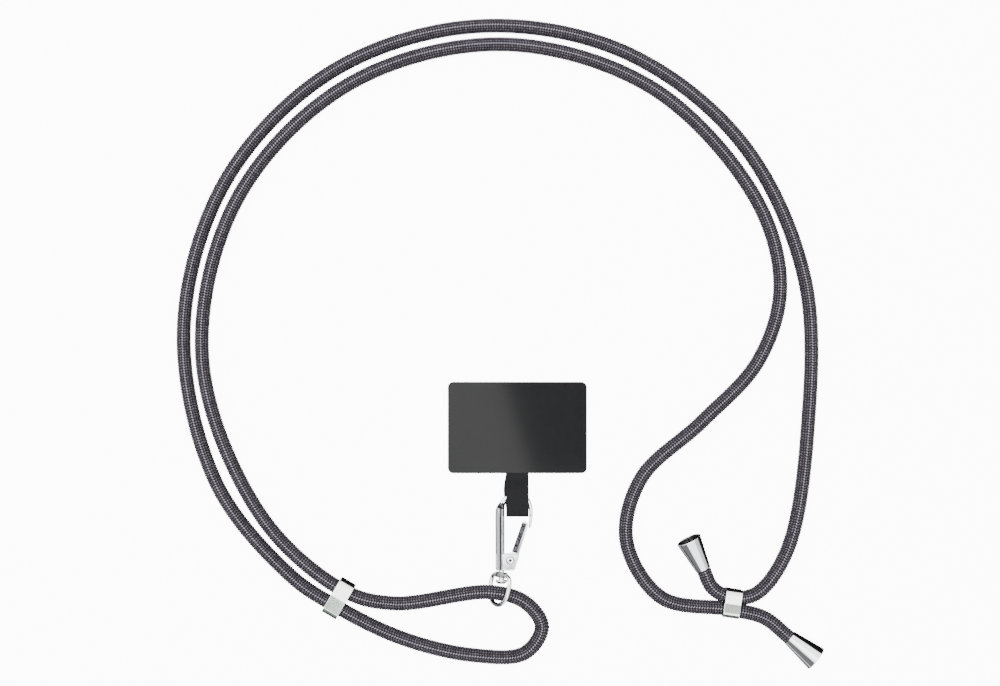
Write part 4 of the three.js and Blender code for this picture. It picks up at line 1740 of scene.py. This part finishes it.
@dataclass
class Tether:
    """The tether: a loop of webbing through the hook, set into the edge of a laminated pad."""

    webbing: Material
    face: Material
    rim: Material
    ply: float = 0.75 * MM
    loop_width: float = 9.0 * MM
    join: float = 1.6 * MM
    slope: float = 4.6 * MM
    seat: float = 1.5 * MM
    rib: float = 0.56 * MM
    relief: float = 0.05 * MM
    skew: float = 1.0 * MM
    corner: float = 2.2 * MM
    pad_edge: float = 0.35 * MM
    loop_edge: float = 0.3 * MM
    end_height: float = 0.98 * MM
    pad_height: float = 1.05 * MM
    bends: tuple[float, ...] = (0, 2 * MM, 3 * MM, 0)
    steps: int = 24

    def pad(self) -> None:
        """Builds the pad, a laminated plate with a pressed edge."""
        low, high = (np.array(corner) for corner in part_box("tether_pad"))
        size = high - low
        middle = (low + high) / 2
        x, y = size[:2] / 2
        outline = rounded([(x, y), (-x, y), (-x, -y), (x, -y)], [self.corner] * 4, 12)
        pad = plate("laminated_pad", outline, size[2])
        bevel(pad, self.pad_edge, segments=4, angle=60)
        dress(pad, self.face, self.rim, angle=50)
        for polygon in pad.data.polygons:
            polygon.material_index = int(abs(polygon.normal.z) < 0.9)
        pad.data.transform(Matrix.Translation(middle))
        settle(pad, Body.CLASP, "tether_pad")

    def middle_line(self) -> np.ndarray:
        """Returns the webbing's middle line, from the pad over the hook and back under it."""
        low, high = (np.array(corner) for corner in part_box("tether_loop"))
        x = (low[0] + high[0]) / 2
        end = high[1] + self.seat
        join = high[1] - self.join
        lift = join - self.slope
        top = high[2] - self.ply / 2
        bottom = self.ply / 2
        radius = (top - bottom) / 2
        fold = low[1] + high[2] / 2
        turn = np.linspace(math.pi / 2, 3 * math.pi / 2, self.steps)
        arc = np.column_stack(
            [np.full(self.steps, x), fold + radius * np.cos(turn), bottom + radius + radius * np.sin(turn)]
        )
        upper = [(end, self.end_height), (high[1], self.pad_height), (join, 1.5 * self.ply), (lift, top)]
        over = rounded(upper, self.bends)
        over = np.column_stack([np.full(len(over), x), over])
        under = np.linspace(fold, end, self.steps)
        aside = self.skew * np.sin(math.pi * (under - fold) / (end - fold)) ** 2
        under = np.column_stack([x - aside, under, np.full(self.steps, bottom)])
        return np.vstack([over, arc[1:], under[1:]])

    def tree(self) -> NodeTree:
        """Builds the tree that sweeps the webbing's section and raises its woven ribs."""
        tree, knob = new_tree(
            "woven_webbing",
            {
                "Route": "Object",
                "Section": "Object",
                "Step": "Float",
                "Rib": "Float",
                "Relief": "Float",
                "Material": "Material",
            },
        )
        curves = []
        for label in ("Route", "Section"):
            shape = add_node(tree, "GeometryNodeObjectInfo", {0: knob[label]}, transform_space="ORIGINAL")
            steps = {"Curve": shape.outputs["Geometry"], "Length": knob["Step"]}
            fine = add_node(tree, "GeometryNodeResampleCurve", steps, mode="LENGTH").outputs[0]
            walked = add_node(tree, "GeometryNodeSplineParameter").outputs["Length"]
            note = {"Geometry": fine, "Name": f"{label} Length", "Value": walked}
            noted = add_node(
                tree, "GeometryNodeStoreNamedAttribute", note, data_type="FLOAT", domain="POINT"
            )
            curves.append(noted.outputs[0])
        sweep = {"Curve": curves[0], "Profile Curve": curves[1], "Fill Caps": True}
        skin = add_node(tree, "GeometryNodeCurveToMesh", sweep).outputs[0]
        lift = knob["Relief"]
        for label in ("Route", "Section"):
            name = {"Name": f"{label} Length"}
            walked = add_node(tree, "GeometryNodeInputNamedAttribute", name, data_type="FLOAT").outputs[0]
            ribs = {0: walked, 1: knob["Rib"]}
            ribs = add_node(tree, "ShaderNodeMath", ribs, operation="DIVIDE").outputs[0]
            turn = add_node(tree, "ShaderNodeMath", {0: ribs, 1: math.pi}, operation="MULTIPLY").outputs[0]
            wave = add_node(tree, "ShaderNodeMath", {0: turn}, operation="SINE").outputs[0]
            lift = add_node(tree, "ShaderNodeMath", {0: lift, 1: wave}, operation="MULTIPLY").outputs[0]
        rise = {0: add_node(tree, "GeometryNodeInputNormal").outputs[0], "Scale": lift}
        offset = add_node(tree, "ShaderNodeVectorMath", rise, operation="SCALE").outputs[0]
        woven = add_node(tree, "GeometryNodeSetPosition", {"Geometry": skin, "Offset": offset}).outputs[0]
        real = add_node(tree, "GeometryNodeRealizeInstances", {0: woven}).outputs[0]
        dye = {"Geometry": real, "Material": knob["Material"]}
        dyed = add_node(tree, "GeometryNodeSetMaterial", dye).outputs[0]
        smooth = add_node(tree, "GeometryNodeSetShadeSmooth", {0: dyed}).outputs[0]
        add_node(tree, "NodeGroupOutput", {0: smooth})
        return tree

    def loop(self) -> None:
        route = link_line("webbing_route", self.middle_line(), closed=False)
        x = self.loop_width / 2
        y = self.ply / 2 - self.relief
        edge = rounded([(x, y), (-x, y), (-x, -y), (x, -y)], [self.loop_edge] * 4)
        section = link_line("webbing_section", np.column_stack([edge, np.zeros(len(edge))]), closed=True)
        loop = grow(
            "woven_loop",
            self.tree(),
            {
                "Route": route,
                "Section": section,
                "Step": self.rib / 4,
                "Rib": self.rib,
                "Relief": self.relief,
                "Material": self.webbing,
            },
        )
        bpy.data.objects.remove(route)
        bpy.data.objects.remove(section)
        tidy(loop.data)
        settle(loop, Body.CLASP, "tether_loop")

    def build(self) -> None:
        """Builds the whole tether."""
        self.pad()
        self.loop()


def corners(bounds: tuple[Vector, Vector]) -> list[list[float]]:
    """Turns a box into plain lists of numbers.

    Args:
        bounds: The box's lowest and highest corner.

    Returns:
        Both corners as lists.
    """
    return [list(corner) for corner in bounds]


def main() -> None:
    """Builds the strap piece by piece, logging each piece's faces."""
    logging.basicConfig(level=logging.INFO, format="%(message)s")
    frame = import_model()
    Studio().build()
    metal = PlatedFinish()
    polished = metal.plating(Plating.POLISHED)
    satin = metal.plating(Plating.SATIN)
    painted_shade = PAINTED_SHADE_METAL.material()
    EndCap("upper_cone", CORD_ROUTE[0], CORD_ROUTE[1], polished, painted_shade).build()
    EndCap("lower_cone", CORD_ROUTE[-1], CORD_ROUTE[-2], polished, painted_shade).build()
    Cord().build()
    SlidingRing("loop_slider_band", LOOP_SLIDER, satin).build()
    SlidingRing("length_slider_band", LENGTH_SLIDER, satin).build()
    # The clasp gets the painted spine shade, the collar's painted shade and the dark painted-shade metal.
    Clasp(polished, metal.crease(), COLLAR_PAINTED_SHADE.material(), painted_shade).build()
    patch = PatchFinish()
    Tether(WebbingFinish().material(), patch.face(), patch.rim()).build()
    LOG.info("bodies: %s", ", ".join(frame["bodies"]))


if __name__ == "__main__":
    main()
